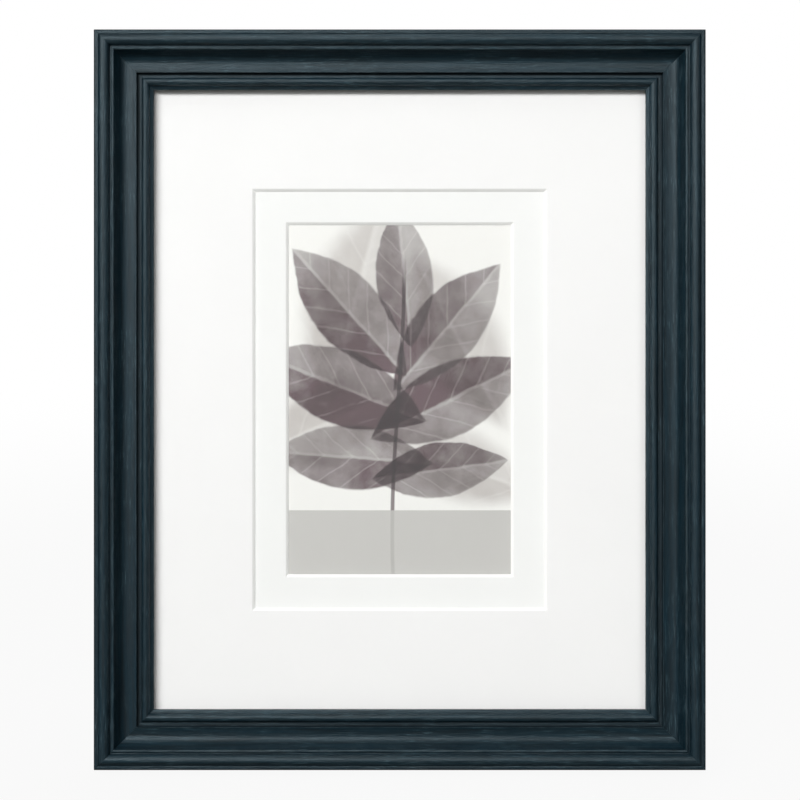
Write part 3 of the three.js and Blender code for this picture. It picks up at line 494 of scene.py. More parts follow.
# Sawn edge of pressed wood fibre: brown, felted, with the layers of the pressing.
def board_fibre(s):
    material, tree = node_material("pressed_wood_fibre")
    place = add(tree, "ShaderNodeTexCoord").outputs["Object"]
    # Fibres about 0.4 mm thick
    fibres = add(tree, "ShaderNodeTexNoise", {"Vector": place, "Scale": 1 / (0.4 * MM), "Detail": 4.0,
                                              "Roughness": 0.7})
    dark = darker(s.fibre, 0.45)
    tone = add(tree, "ShaderNodeMapRange", {"Value": fibres, "From Min": 0.3, "From Max": 0.7})
    face = add(tree, "ShaderNodeMix", {"Factor": tone, "A": dark, "B": s.fibre}, data_type="RGBA")
    bump = add(tree, "ShaderNodeBump", {"Strength": 0.6, "Distance": 0.2 * MM, "Height": fibres})
    show(tree, add(tree, "ShaderNodeBsdfPrincipled", {"Base Color": face, "Roughness": 0.88,
                                                      "Specular IOR Level": 0.2, "Normal": bump}))
    return material


# Plated sheet steel, tumbled after stamping: bright, finely hazed, with duller passivated or tarnished patches.
def plated_steel(name, bright, dull, patch, roughness):
    material, tree = node_material(name)
    place = add(tree, "ShaderNodeTexCoord").outputs["Object"]
    patches = add(tree, "ShaderNodeTexNoise", {"Vector": place, "Scale": 1 / (patch * MM), "Detail": 5.0,
                                               "Roughness": 0.6})
    # Tumbling marks about 0.5 mm across
    haze = add(tree, "ShaderNodeTexNoise", {"Vector": place, "Scale": 1 / (0.5 * MM), "Detail": 2.0})
    tarnish = add(tree, "ShaderNodeMapRange", {"Value": patches, "From Min": 0.42, "From Max": 0.72, "To Max": 0.8})
    face = add(tree, "ShaderNodeMix", {"Factor": tarnish, "A": tuple(bright), "B": tuple(dull)}, data_type="RGBA")
    spread = add(tree, "ShaderNodeMath", {0: haze, 1: 0.6, 2: patches}, operation="MULTIPLY_ADD")
    rough = add(tree, "ShaderNodeMapRange", {"Value": spread, "From Min": 0.5, "From Max": 1.1,
                                             "To Min": roughness - 0.08, "To Max": roughness + 0.12})
    bump = add(tree, "ShaderNodeBump", {"Strength": 0.12, "Distance": 0.05 * MM, "Height": haze})
    show(tree, add(tree, "ShaderNodeBsdfPrincipled", {"Base Color": face, "Metallic": 1.0, "Roughness": rough,
                                                      "Normal": bump}))
    return material


def finish_of(name, maker, *values):
    """A material that several pieces share, made once."""
    return bpy.data.materials.get(name) or maker(*values)


def zinc_plate(context):
    s = context.scene.frame_back
    return finish_of("zinc_plated_steel", plated_steel, "zinc_plated_steel", s.zinc, s.zinc_dull, 7.0, 0.34)


def brass_plate(context):
    s = context.scene.frame_back
    return finish_of("brass_plated_steel", plated_steel, "brass_plated_steel", s.brass, s.brass_dull, 5.0, 0.3)


def new_piece(name, mesh):
    piece = bpy.data.objects.new(name, mesh)
    bpy.context.scene.collection.objects.link(piece)
    return piece


def mesh_from(bm, name):
    mesh = bpy.data.meshes.new(name)
    bm.to_mesh(mesh)
    bm.free()
    return mesh


def discard(piece):
    mesh = piece.data
    bpy.data.objects.remove(piece)
    bpy.data.meshes.remove(mesh)


def plain(piece):
    """Puts the result of the piece's modifiers in its mesh and takes the modifiers off."""
    depsgraph = bpy.context.evaluated_depsgraph_get()
    mesh = bpy.data.meshes.new_from_object(piece.evaluated_get(depsgraph), preserve_all_data_layers=True,
                                           depsgraph=depsgraph)
    piece.modifiers.clear()
    bare = piece.data
    piece.data = mesh
    bpy.data.meshes.remove(bare)
    if not mesh.polygons:
        raise RuntimeError(f"{piece.name} came out empty")
    return piece


def grow(piece, tree, values):
    """Runs a geometry tree on a piece with these inputs, by their names."""
    modifier = piece.modifiers.new(tree.name, "NODES")
    modifier.node_group = tree
    names = {item.name: item.identifier for item in tree.interface.items_tree if item.in_out == "INPUT"}
    for name, value in values.items():
        modifier[names[name]] = value
    return plain(piece)


def tidy(mesh, sharp=SHARP_EDGE):
    """Doubles merged, faces outwards, smooth with sharp edges kept."""
    bm = bmesh.new()
    bm.from_mesh(mesh)
    bmesh.ops.remove_doubles(bm, verts=bm.verts, dist=1e-7)
    bmesh.ops.recalc_face_normals(bm, faces=bm.faces)
    bm.to_mesh(mesh)
    bm.free()
    mesh.shade_smooth()
    mesh.set_sharp_from_angle(angle=math.radians(sharp))
    return mesh


def hand_over(piece, body, slot, *nodes):
    """The piece rides on a body and stands for these CAD nodes, which are hidden; the slot is not used."""
    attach(piece, body)
    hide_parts(*nodes)


def tree_with(name, inputs, result):
    """Empty geometry tree with named inputs and one result."""
    tree = bpy.data.node_groups.new(name, "GeometryNodeTree")
    for label, kind in inputs:
        tree.interface.new_socket(label, in_out="INPUT", socket_type=kind)
    tree.interface.new_socket(result, in_out="OUTPUT", socket_type="NodeSocketGeometry")
    return tree


def arc(x, y, across, up, start, end, steps):
    """Points of an ellipse from one angle to another, both ends included."""
    angles = [start + (end - start) * i / steps for i in range(steps + 1)]
    return [(x + across * math.cos(a), y + up * math.sin(a)) for a in angles]


def softened_outline(points, softness):
    """Closed outline with each sharp corner replaced by a small round."""
    result = []
    count = len(points)
    for i, point in enumerate(points):
        here = Vector(point)
        back = Vector(points[i - 1]) - here
        ahead = Vector(points[(i + 1) % count]) - here
        if abs(back.angle(-ahead)) < math.radians(SHARP_CORNER):
            result.append(point)
            continue
        reach = min(softness, 0.45 * back.length, 0.45 * ahead.length)
        start = here + back.normalized() * reach
        end = here + ahead.normalized() * reach
        for step in range(ROUND_STEPS + 1):
            t = step / ROUND_STEPS
            result.append(tuple(start * (1 - t) ** 2 + here * 2 * t * (1 - t) + end * t ** 2))
    return result


def moulding_outline(s):
    """Section of the moulding: across from the outer edge, up from the back."""
    bead_foot = s.rabbet_depth + s.lip_thickness
    lip_edge = bead_foot - s.lip_fall
    channel = bead_foot - s.channel_drop
    arris = bead_foot + s.arris_rise
    cove_floor = arris - s.toe_rise
    valley = cove_floor + s.cove_fall
    rim = valley + s.rim_rise
    bead_end = s.rim_width + s.bead_width
    quirk = math.asin((s.rim_rise - s.rim_quirk) / s.bead_rise)
    bead_half = s.bead_width / (1 + math.cos(quirk))
    ridge_middle = bead_end + s.valley_width + s.ridge_width / 2
    inner_half = s.inner_bead_width / 2
    inner_middle = s.width - s.lip_slope_width - inner_half
    channel_start = inner_middle - inner_half - s.channel_width
    toe_start = channel_start - s.arris_lean - s.toe_width
    toe_radius = (s.toe_width ** 2 + s.toe_rise ** 2) / (2 * s.toe_rise)
    swing = math.asin(s.toe_width / toe_radius)
    hollow, down = s.hollow_radius, 3 * QUARTER
    back_edge = s.width - s.lip_width
    points = [(0.5 * back_edge, 0), (back_edge, 0), (back_edge, s.rabbet_depth), (s.width, s.rabbet_depth)]
    points += arc(s.width - s.lip_round, lip_edge - s.lip_round, s.lip_round, s.lip_round, 0, QUARTER, 6)
    points += arc(inner_middle, bead_foot, inner_half, s.inner_bead_rise, 0, math.pi, 28)
    points += [(inner_middle - inner_half, channel), (channel_start, channel)]
    points += arc(toe_start, cove_floor + toe_radius, toe_radius, toe_radius, down + swing, down, 12)
    points += arc(toe_start, cove_floor + hollow, hollow, hollow, down, down - s.cove_wall, 16)[1:]
    points += arc(ridge_middle, valley, s.ridge_width / 2, s.ridge_rise, 0, math.pi, 14)
    points += arc(bead_end - bead_half, valley, bead_half, s.bead_rise, 0, math.pi - quirk, 36)
    points += [(s.rim_width, rim), (s.rim_chamfer, rim), (0, rim - s.rim_chamfer), (0, 0)]
    points.append((0.5 * back_edge - 0.01 * MM, 0))
    return softened_outline(points, s.softness)


def section_mesh(s):
    """Ring of edges with its places across and up, its girth, and its wear and painted shade.

    A value of 1 is rubbed wear, and -1 is painted shade on the outer side and the arris half of the sunk channel.
    """
    points = moulding_outline(s)
    channel_end = s.width - s.lip_slope_width - s.inner_bead_width
    bead_foot = s.rabbet_depth + s.lip_thickness
    count = len(points)
    mesh = bpy.data.meshes.new("moulding_section")
    mesh.from_pydata([(x, y, 0) for x, y in points], [(i, (i + 1) % count) for i in range(count)], [])
    girth, wear = [0.0], []
    for i, point in enumerate(points):
        here, before, after = Vector(point), Vector(points[i - 1]), Vector(points[(i + 1) % count])
        step_in, step_out = here - before, after - here
        girth.append(girth[-1] + step_out.length)
        bend = math.atan2(step_in.x * step_out.y - step_in.y * step_out.x, step_in.dot(step_out))
        radius = (step_in.length + step_out.length) / 2 / max(bend, 1e-6)
        handled = here.x > 0.8 * s.rim_width and here.y > s.rabbet_depth + 0.3 * s.lip_thickness
        # The outer side and the arris half of the sunk channel get -1, which paints shade on them
        outer = here.x < 0.9 * s.rim_chamfer and here.y > 0
        sunk = -1.1 < (here.x - channel_end) / s.channel_width < -0.5 and here.y < bead_foot
        wear.append(-1.0 if outer or sunk else min(1.0, 0.5 * MM / radius) if handled else 0.0)
    for name, values in (("across", [p[0] for p in points]), ("up", [p[1] for p in points]), ("girth", girth[:-1]),
                         ("wear", wear)):
        mesh.attributes.new(name, "FLOAT", "POINT").data.foreach_set("value", values)
    return mesh


def moulding_tree():
    """Sweeps the section along one side, mitres both ends and lays the grain along it."""
    tree = tree_with("mitred_moulding", (("Section", "NodeSocketGeometry"), ("Length", "NodeSocketFloat"),
                                         ("Mitre Gap", "NodeSocketFloat"), ("Spans", "NodeSocketInt"),
                                         ("Grain Start", "NodeSocketFloat"), ("Finish", "NodeSocketMaterial")),
                     "Moulding")
    given = add(tree, "NodeGroupInput").outputs
    ring = add(tree, "GeometryNodeMeshToCurve", {"Mesh": given["Section"]})
    line = add(tree, "GeometryNodeCurvePrimitiveLine", {"Start": (0, 0, 0), "End": (1, 0, 0)})
    stops = add(tree, "GeometryNodeResampleCurve", {"Curve": line, "Count": given["Spans"]})
    run = add(tree, "GeometryNodeSplineParameter").outputs["Factor"]
    marked = add(tree, "GeometryNodeStoreNamedAttribute", {"Geometry": stops, "Name": "run", "Value": run},
                 data_type="FLOAT", domain="POINT")
    swept = add(tree, "GeometryNodeCurveToMesh", {"Curve": marked, "Profile Curve": ring, "Fill Caps": True})
    read = {name: add(tree, "GeometryNodeInputNamedAttribute", {"Name": name}, data_type="FLOAT").outputs["Attribute"]
            for name in ("run", "across", "up", "girth")}
    whole = add(tree, "ShaderNodeMath", {0: given["Length"], 1: given["Mitre Gap"]}, operation="SUBTRACT")
    half = add(tree, "ShaderNodeMath", {0: whole, 1: 0.5}, operation="MULTIPLY")
    short = add(tree, "ShaderNodeMath", {0: half, 1: read["across"]}, operation="SUBTRACT")
    side = add(tree, "ShaderNodeMath", {0: read["run"], 1: 2.0, 2: -1.0}, operation="MULTIPLY_ADD")
    along = add(tree, "ShaderNodeMath", {0: side, 1: short}, operation="MULTIPLY")
    forward = add(tree, "ShaderNodeMath", {0: read["up"], 1: -1.0}, operation="MULTIPLY")
    place = add(tree, "ShaderNodeCombineXYZ", {"X": along, "Y": forward, "Z": read["across"]})
    shaped = add(tree, "GeometryNodeSetPosition", {"Geometry": swept, "Position": place})
    start = add(tree, "ShaderNodeMath", {0: along, 1: given["Grain Start"]}, operation="ADD")
    lay = add(tree, "ShaderNodeCombineXYZ", {"X": start, "Y": read["girth"]})
    grained = add(tree, "GeometryNodeStoreNamedAttribute", {"Geometry": shaped, "Name": "grain", "Value": lay},
                  data_type="FLOAT2", domain="CORNER")
    real = add(tree, "GeometryNodeRealizeInstances", {"Geometry": grained})
    done = add(tree, "GeometryNodeSetMaterial", {"Geometry": real, "Material": given["Finish"]})
    add(tree, "NodeGroupOutput", {"Moulding": done})
    return tree


def fastener_tree():
    """Sets one fastener at each place, turned as the place says and a little further by chance."""
    tree = tree_with("fasteners_at_their_places", (("Places", "NodeSocketGeometry"), ("Fastener", "NodeSocketObject"),
                                                   ("Turn Spread", "NodeSocketFloat"), ("Turn Seed", "NodeSocketInt"),
                                                   ("Finish", "NodeSocketMaterial")), "Fasteners")
    given = add(tree, "NodeGroupInput").outputs
    facing = add(tree, "GeometryNodeInputNamedAttribute", {"Name": "facing"}, data_type="FLOAT_VECTOR")
    stance = add(tree, "FunctionNodeEulerToRotation", {"Euler": facing.outputs["Attribute"]})
    angle = add(tree, "FunctionNodeRandomValue", {"Min": 0.0, "Max": given["Turn Spread"], "Seed": given["Turn Seed"]},
                data_type="FLOAT")
    driven = add(tree, "FunctionNodeAxisAngleToRotation", {"Axis": (0, 1, 0), "Angle": angle})
    turned = add(tree, "FunctionNodeRotateRotation", {"Rotation": stance, "Rotate By": driven}, rotation_space="LOCAL")
    shape = add(tree, "GeometryNodeObjectInfo", {"Object": given["Fastener"]}).outputs["Geometry"]
    set_in = add(tree, "GeometryNodeInstanceOnPoints", {"Points": given["Places"], "Instance": shape,
                                                        "Rotation": turned})
    real = add(tree, "GeometryNodeRealizeInstances", {"Geometry": set_in})
    done = add(tree, "GeometryNodeSetMaterial", {"Geometry": real, "Material": given["Finish"]})
    add(tree, "NodeGroupOutput", {"Fasteners": done})
    return tree


def hanger_tree():
    """Bent strip with teeth along one edge: X along it, Y out of the back, Z towards the teeth."""
    sizes = ("Length", "Width", "Thickness", "Lift", "Foot", "Pitch", "Depth", "Gap")
    tree = tree_with("sawtooth_hanger", (("Blank", "NodeSocketGeometry"),
                                         *((name, "NodeSocketFloat") for name in sizes),
                                         ("Finish", "NodeSocketMaterial")), "Hanger")
    given = add(tree, "NodeGroupInput").outputs
    steps = add(tree, "ShaderNodeMath", {0: given["Length"], 1: 0.2 * MM}, operation="DIVIDE")
    columns = add(tree, "ShaderNodeMath", {0: steps, 1: 1.0}, operation="ADD")
    blank = add(tree, "GeometryNodeMeshGrid", {"Size X": given["Length"], "Size Y": given["Width"],
                                               "Vertices X": columns, "Vertices Y": 7})
    spot = add(tree, "ShaderNodeSeparateXYZ", {"Vector": add(tree, "GeometryNodeInputPosition")}).outputs
    half = add(tree, "ShaderNodeMath", {0: given["Length"], 1: 0.5}, operation="MULTIPLY")
    bend_at = add(tree, "ShaderNodeMath", {0: half, 1: given["Foot"]}, operation="SUBTRACT")
    bend_to = add(tree, "ShaderNodeMath", {0: bend_at, 1: given["Lift"]}, operation="SUBTRACT")
    out = add(tree, "ShaderNodeMath", {0: spot["X"]}, operation="ABSOLUTE")
    raised = add(tree, "ShaderNodeMapRange", {"Value": out, "From Min": bend_to, "From Max": bend_at,
                                              "To Min": given["Lift"], "To Max": 0.0},
                 interpolation_type="SMOOTHSTEP")
    height = add(tree, "ShaderNodeMath", {0: raised, 1: given["Gap"]}, operation="ADD")
    # Each tooth is one turn of a triangle wave, and the teeth end where the strip bends
    room = add(tree, "ShaderNodeMath", {0: bend_to, 1: given["Pitch"]}, operation="DIVIDE")
    teeth = add(tree, "ShaderNodeMath", {0: room}, operation="FLOOR")
    toothed = add(tree, "ShaderNodeMath", {0: teeth, 1: given["Pitch"]}, operation="MULTIPLY")
    half_pitch = add(tree, "ShaderNodeMath", {0: given["Pitch"], 1: 0.5}, operation="MULTIPLY")
    wave = add(tree, "ShaderNodeMath", {0: spot["X"], 1: half_pitch}, operation="PINGPONG")
    share = add(tree, "ShaderNodeMath", {0: wave, 1: half_pitch}, operation="DIVIDE")
    notch = add(tree, "ShaderNodeMath", {0: share, 1: given["Depth"]}, operation="MULTIPLY")
    within = add(tree, "ShaderNodeMath", {0: out, 1: toothed}, operation="LESS_THAN")
    cut = add(tree, "ShaderNodeMath", {0: notch, 1: within}, operation="MULTIPLY")
    # The notch is drawn across the half of the strip that carries the teeth
    reach = add(tree, "ShaderNodeMath", {0: given["Width"], 1: 0.5}, operation="MULTIPLY")
    part = add(tree, "ShaderNodeMapRange", {"Value": spot["Y"], "From Min": 0.0, "From Max": reach})
    drawn = add(tree, "ShaderNodeMath", {0: cut, 1: part}, operation="MULTIPLY")
    towards = add(tree, "ShaderNodeMath", {0: spot["Y"], 1: drawn}, operation="SUBTRACT")
    place = add(tree, "ShaderNodeCombineXYZ", {"X": spot["X"], "Y": height, "Z": towards})
    bent = add(tree, "GeometryNodeSetPosition", {"Geometry": blank, "Position": place})
    thick = add(tree, "ShaderNodeCombineXYZ", {"Y": given["Thickness"]})
    pulled = add(tree, "GeometryNodeExtrudeMesh", {"Mesh": bent, "Offset": thick, "Offset Scale": 1.0,
                                                   "Individual": False})
    closed = add(tree, "GeometryNodeJoinGeometry")
    for shell in (add(tree, "GeometryNodeFlipFaces", {"Mesh": bent}), pulled):
        tree.links.new(shell.outputs[0], closed.inputs[0])
    welded = add(tree, "GeometryNodeMergeByDistance", {"Geometry": closed, "Distance": 0.001 * MM})
    real = add(tree, "GeometryNodeRealizeInstances", {"Geometry": welded})
    done = add(tree, "GeometryNodeSetMaterial", {"Geometry": real, "Material": given["Finish"]})
    add(tree, "NodeGroupOutput", {"Hanger": done})
    return tree


def turned_mesh(name, outline, sides=48):
    """Round piece about Y from pairs of radius and height, lowest first, closed at both ends."""
    bm = bmesh.new()
    rings = []
    for radius, y in outline:
        if radius < 1e-9:
            rings.append([bm.verts.new((0, y, 0))])
        else:
            rings.append([bm.verts.new((radius * math.cos(a), y, radius * math.sin(a)))
                          for a in (2 * math.pi * i / sides for i in range(sides))])
    for low, high in zip(rings, rings[1:]):
        for i in range(sides):
            j = (i + 1) % sides
            corners = [low[i % len(low)], low[j % len(low)], high[j % len(high)], high[i % len(high)]]
            bm.faces.new(list(dict.fromkeys(corners)))
    return tidy(mesh_from(bm, name))


def prism_mesh(name, outline, front, back):
    """Closed prism: the outline's pairs become X and Z, between two places along Y."""
    bm = bmesh.new()
    near = bm.faces.new([bm.verts.new((x, front, z)) for x, z in outline])
    pulled = bmesh.ops.extrude_face_region(bm, geom=[near])["geom"]
    moved = [item for item in pulled if isinstance(item, bmesh.types.BMVert)]
    bmesh.ops.translate(bm, verts=moved, vec=(0, back - front, 0))
    return tidy(mesh_from(bm, name))


def cut_away(piece, tools):
    """Cuts the tools out of a piece and discards them."""
    for tool in tools:
        modifier = piece.modifiers.new(tool.name, "BOOLEAN")
        modifier.operation = "DIFFERENCE"
        modifier.solver = "MANIFOLD"
        modifier.object = tool
    plain(piece)
    for tool in tools:
        discard(tool)
    return piece


def softened_node(name, node, softness):
    """Copy of a CAD node with its edges rounded a little."""
    bm = bmesh.new()
    bm.from_mesh(NODES[node].data)
    bmesh.ops.remove_doubles(bm, verts=bm.verts, dist=1e-6)
    bmesh.ops.dissolve_limit(bm, angle_limit=math.radians(0.5), verts=bm.verts, edges=bm.edges)
    sharp = [e for e in bm.edges if len(e.link_faces) == 2 and e.calc_face_angle() > math.radians(40)]
    bmesh.ops.bevel(bm, geom=sharp, offset=softness, segments=3, profile=0.5, affect="EDGES", clamp_overlap=True)
    bmesh.ops.triangulate(bm, faces=[f for f in bm.faces if len(f.verts) > 4])
    mesh = mesh_from(bm, name)
    mesh.materials.clear()
    return new_piece(name, tidy(mesh))


def places_mesh(name, places):
    """One vertex for each place, with the way it faces."""
    mesh = bpy.data.meshes.new(name)
    mesh.from_pydata([place.to_translation() for place in places], [], [])
    facing = [angle for place in places for angle in place.to_euler()]
    mesh.attributes.new("facing", "FLOAT_VECTOR", "POINT").data.foreach_set("vector", facing)
    return mesh


def fasteners(name, shape, places, spread, seed, finish):
    """Copies of a fastener mesh at these places, as one piece."""
    model = new_piece(f"{name}_model", shape)
    tree = bpy.data.node_groups.get("fasteners_at_their_places") or fastener_tree()
    piece = new_piece(name, places_mesh(name, places))
    grow(piece, tree, {"Fastener": model, "Turn Spread": spread, "Turn Seed": seed, "Finish": finish})
    discard(model)
    tidy(piece.data)
    return piece


def axis_place(node, place):
    """The place of a round node whose axis is the Y of a given frame."""
    lo, hi = upright_box(node, place)
    return place @ Matrix.Translation(((lo.x + hi.x) / 2, 0, (lo.z + hi.z) / 2))


def dome(radius, base, height, steps=10):
    return [(radius * math.cos(a) if i < steps else 0, base + height * math.sin(a))
            for i, a in ((i, QUARTER * i / steps) for i in range(steps + 1))]


BOTTOM = upright_box("bottom_rail")
LEFT = upright_box("left_stile")
# Each side's length, its quarter turns, and its place as shares of the frame's width and height
SIDES = (
    ("bottom_rail", BOTTOM[1].x - BOTTOM[0].x, 0, 0, 0),
    ("left_stile", LEFT[1].z - LEFT[0].z, 1, -0.5, 0.5),
    ("top_rail", BOTTOM[1].x - BOTTOM[0].x, 2, 0, 1),
    ("right_stile", LEFT[1].z - LEFT[0].z, 3, 0.5, 0.5),
)
# Each corner's quarter turns, and its place as shares of the frame's width and height
CORNERS = (("bottom_left", 0, -0.5, 0), ("top_left", 1, -0.5, 1), ("top_right", 2, 0.5, 1), ("bottom_right", 3, 0.5, 0))


def turned_place(x, z, turn):
    """Upright place with so many quarter turns about Y."""
    return UPRIGHT @ (Matrix.Translation((x, 0, z)) @ Matrix.Rotation(turn * QUARTER, 4, "Y"))


def frame_size(s):
    """Outer width and height of the frame, gaps of the mitres included."""
    return SIDES[0][1] + s.mitre_gap, SIDES[1][1] + s.mitre_gap


# Corner nails from the outer edge, and the room that their slots leave
V_NAILS = (("outer", 4.5 * MM), ("inner", 10.0 * MM))
V_NAIL_WING = 5.5 * MM
V_NAIL_THICKNESS = 0.7 * MM
V_NAIL_BEND = 0.2 * MM
V_NAIL_DEPTH = 8.2 * MM
V_NAIL_SINK = 0.2 * MM
V_NAIL_ROOM = 0.15 * MM
SLOT_OVERRUN = 4 * MM


def slot_outline(inset):
    """Outline of a corner nail with some room round it."""
    near = inset - V_NAIL_ROOM
    far, end = inset + V_NAIL_THICKNESS + V_NAIL_ROOM, inset + V_NAIL_WING + V_NAIL_ROOM
    return [(near, near), (end, near), (end, far), (far, far), (far, end), (near, end)]


class MakeMoulding(bpy.types.Operator):
    """Sweep the section along the four sides, mitre them and cut the slots of the corner nails"""
    bl_idname = "picture_frame.make_moulding"
    bl_label = "Moulding"

    def execute(self, context):
        s = context.scene.frame_moulding
        width, height = frame_size(s)
        tree = moulding_tree()
        front, back = stained_wood(s), washed_back_wood(s)
        for number, (name, span, turn, x, z) in enumerate(SIDES):
            piece = new_piece(f"{name}_moulding", section_mesh(s))
            grow(piece, tree, {"Length": span + s.mitre_gap, "Mitre Gap": s.hairline, "Spans": 9,
                               "Grain Start": 0.7 * number, "Finish": front})
            tidy(piece.data)
            tools = []
            for place, inset in V_NAILS:
                for end in (-1, 1):
                    mesh = prism_mesh(f"{name}_slot_{place}", slot_outline(inset), -V_NAIL_DEPTH - V_NAIL_ROOM,
                                      SLOT_OVERRUN)
                    if end > 0:
                        mesh.transform(Matrix.Rotation(-QUARTER, 4, "Y"))
                    mesh.transform(Matrix.Translation((end * (span + s.mitre_gap) / 2, 0, 0)))
                    tools.append(new_piece(mesh.name, mesh))
            cut_away(piece, tools)
            mesh = piece.data
            for attribute in ("run", "across", "up", "girth"):
                mesh.attributes.remove(mesh.attributes[attribute])
            mesh.materials.clear()
            mesh.materials.append(front)
            mesh.materials.append(back)
            for face in mesh.polygons:
                face.material_index = 1 if face.normal.y > 0.9 else 0
            mesh.shade_smooth()
            mesh.set_sharp_from_angle(angle=math.radians(SHARP_EDGE))
            mesh.transform(turned_place(x * width, z * height, turn))
            hand_over(piece, "frame", "stained_wood", name)
        return {"FINISHED"}


class MakeCornerNails(bpy.types.Operator):
    """Drive two V-nails into the back of each mitre"""
    bl_idname = "picture_frame.make_corner_nails"
    bl_label = "Corner nails"

    def execute(self, context):
        width, height = frame_size(context.scene.frame_moulding)
        wing, thick = V_NAIL_WING, V_NAIL_THICKNESS
        bend, crease = thick + V_NAIL_BEND, thick + 0.3 * V_NAIL_BEND
        outline = [(0, 0), (wing, 0), (wing, thick), (bend, thick), (crease, crease), (thick, bend), (thick, wing),
                   (0, wing)]
        shape = prism_mesh("v_nail", outline, -V_NAIL_DEPTH, -V_NAIL_SINK)
        places, nodes = [], []
        for name, turn, x, z in CORNERS:
            corner = turned_place(x * width, z * height, turn)
            for place, inset in V_NAILS:
                places.append(corner @ Matrix.Translation((inset, 0, inset)))
                nodes.append(f"{name}_v_nail_{place}")
        piece = fasteners("corner_v_nails", shape, places, 0.0, 0, zinc_plate(context))
        hand_over(piece, "frame", "zinc_steel", *nodes)
        return {"FINISHED"}


class MakeGlass(bpy.types.Operator):
    """Give the pane its clear glass"""
    bl_idname = "picture_frame.make_glass"
    bl_label = "Glass"

    def execute(self, context):
        pane = NODES["glass_pane"]
        pane.data.materials.clear()
        pane.data.materials.append(clear_glass(context.scene.frame_pack))
        return {"FINISHED"}


def mat_mesh(name, box, window, softness):
    """Mat with a window cut at 45 degrees: faces 0 paper, 1 core; the paper rolls a little into the cut."""
    lo, hi = box
    thickness = hi.y - lo.y
    middle = (lo + hi) / 2
    half = ((hi.x - lo.x) / 2, (hi.z - lo.z) / 2)
    inner = (window[0] / 2, window[1] / 2)
    rings = [(half, hi.y), (half, lo.y)]
    for share in (1, 0.75, 0.5, 0.25):
        drop = softness * share
        rings.append(((inner[0] + thickness + drop, inner[1] + thickness + drop),
                      lo.y + (softness - drop) ** 2 / softness / 2))
    rings += [((inner[0] + thickness - softness, inner[1] + thickness - softness), lo.y + softness), (inner, hi.y)]
    bm = bmesh.new()
    loops = []
    for (across, up), y in rings:
        corners = ((-1, -1), (1, -1), (1, 1), (-1, 1))
        loops.append([bm.verts.new((middle.x + i * across, y, middle.z + j * up)) for i, j in corners])
    loops.append(loops[0])
    for number, (a, b) in enumerate(zip(loops, loops[1:])):
        for i in range(4):
            face = bm.faces.new([a[i], a[(i + 1) % 4], b[(i + 1) % 4], b[i]])
            face.material_index = 0 if 1 <= number <= 4 else 1
    return tidy(mesh_from(bm, name), 20)


class MakeMats(bpy.types.Operator):
    """Cut both mats with their bevelled windows"""
    bl_idname = "picture_frame.make_mats"
    bl_label = "Mats"

    def execute(self, context):
        s = context.scene.frame_pack
        core = mat_core(s)
        border = 2 * (s.reveal + INNER_MAT_BOX[1].y - INNER_MAT_BOX[0].y)
        for node, box, extra, paper, slot in (("outer_mat", OUTER_MAT_BOX, border, s.outer_paper, "outer_mat_board"),
                                              ("inner_mat", INNER_MAT_BOX, 0, s.inner_paper, "inner_mat_board")):
            window = (s.window_width + extra, s.window_height + extra)
            piece = new_piece(f"{node}_board", mat_mesh(f"{node}_board", box, window, s.cut_softness))
            piece.data.transform(UPRIGHT)
            piece.data.materials.append(mat_paper(f"{node}_white_paper", paper))
            piece.data.materials.append(core)
            hand_over(piece, "frame", slot, node)
        return {"FINISHED"}


class MakePrint(bpy.types.Operator):
    """Print the sheet behind the mats"""
    bl_idname = "picture_frame.make_print"
    bl_label = "Print"

    def execute(self, context):
        sheet = NODES["picture_print"]
        sheet.data.materials.clear()
        sheet.data.materials.append(print_paper(context.scene.frame_pack))
        return {"FINISHED"}


class MakeBoards(bpy.types.Operator):
    """Cover the back board and the easel leg with black paper"""
    bl_idname = "picture_frame.make_boards"
    bl_label = "Back board and leg"

    def execute(self, context):
        s = context.scene.frame_back
        paper, fibre = covering_paper(s), board_fibre(s)
        for node, body, place in (("back_board", "frame", UPRIGHT), ("easel_leg", "easel_leg", OPEN_LEG)):
            piece = softened_node(f"{node}_covered", node, s.board_softness)
            out = place.to_3x3() @ Vector((0, 1, 0))
            piece.data.materials.append(paper)
            piece.data.materials.append(fibre)
            for face in piece.data.polygons:
                face.material_index = 0 if abs(face.normal.dot(out)) > 0.35 else 1
            hand_over(piece, body, "covered_hardboard", node)
        return {"FINISHED"}


class MakeHinge(bpy.types.Operator):
    """Form the hinge leaf and strap, and turn the pin"""
    bl_idname = "picture_frame.make_hinge"
    bl_label = "Hinge"

    def execute(self, context):
        s = context.scene.frame_back
        zinc = zinc_plate(context)
        for node, body in (("hinge_leaf", "frame"), ("hinge_strap", "easel_leg")):
            piece = softened_node(f"{node}_stamped", node, s.sheet_softness)
            piece.data.materials.append(zinc)
            hand_over(piece, body, "zinc_steel", node)
        lo, hi = upright_box("hinge_pin", HINGE)
        end, head, shank, neck = hi.x, (hi.y - lo.y) / 2, 0.9 * MM, hi.x - 0.7 * MM
        soft = 0.3 * MM
        half = [(shank, 0), (shank, neck), (head, neck)] + arc(head - soft, end - soft, soft, soft, 0, QUARTER, 5)
        whole = [(r, -y) for r, y in reversed(half)] + half[1:]
        mesh = turned_mesh("hinge_pin_turned", [(0, -end)] + whole + [(0, end)], 40)
        mesh.transform(HINGE @ Matrix.Rotation(-QUARTER, 4, "Z"))
        piece = new_piece("hinge_pin_turned", mesh)
        mesh.materials.append(zinc)
        hand_over(piece, "frame", "zinc_steel", "hinge_pin")
        return {"FINISHED"}


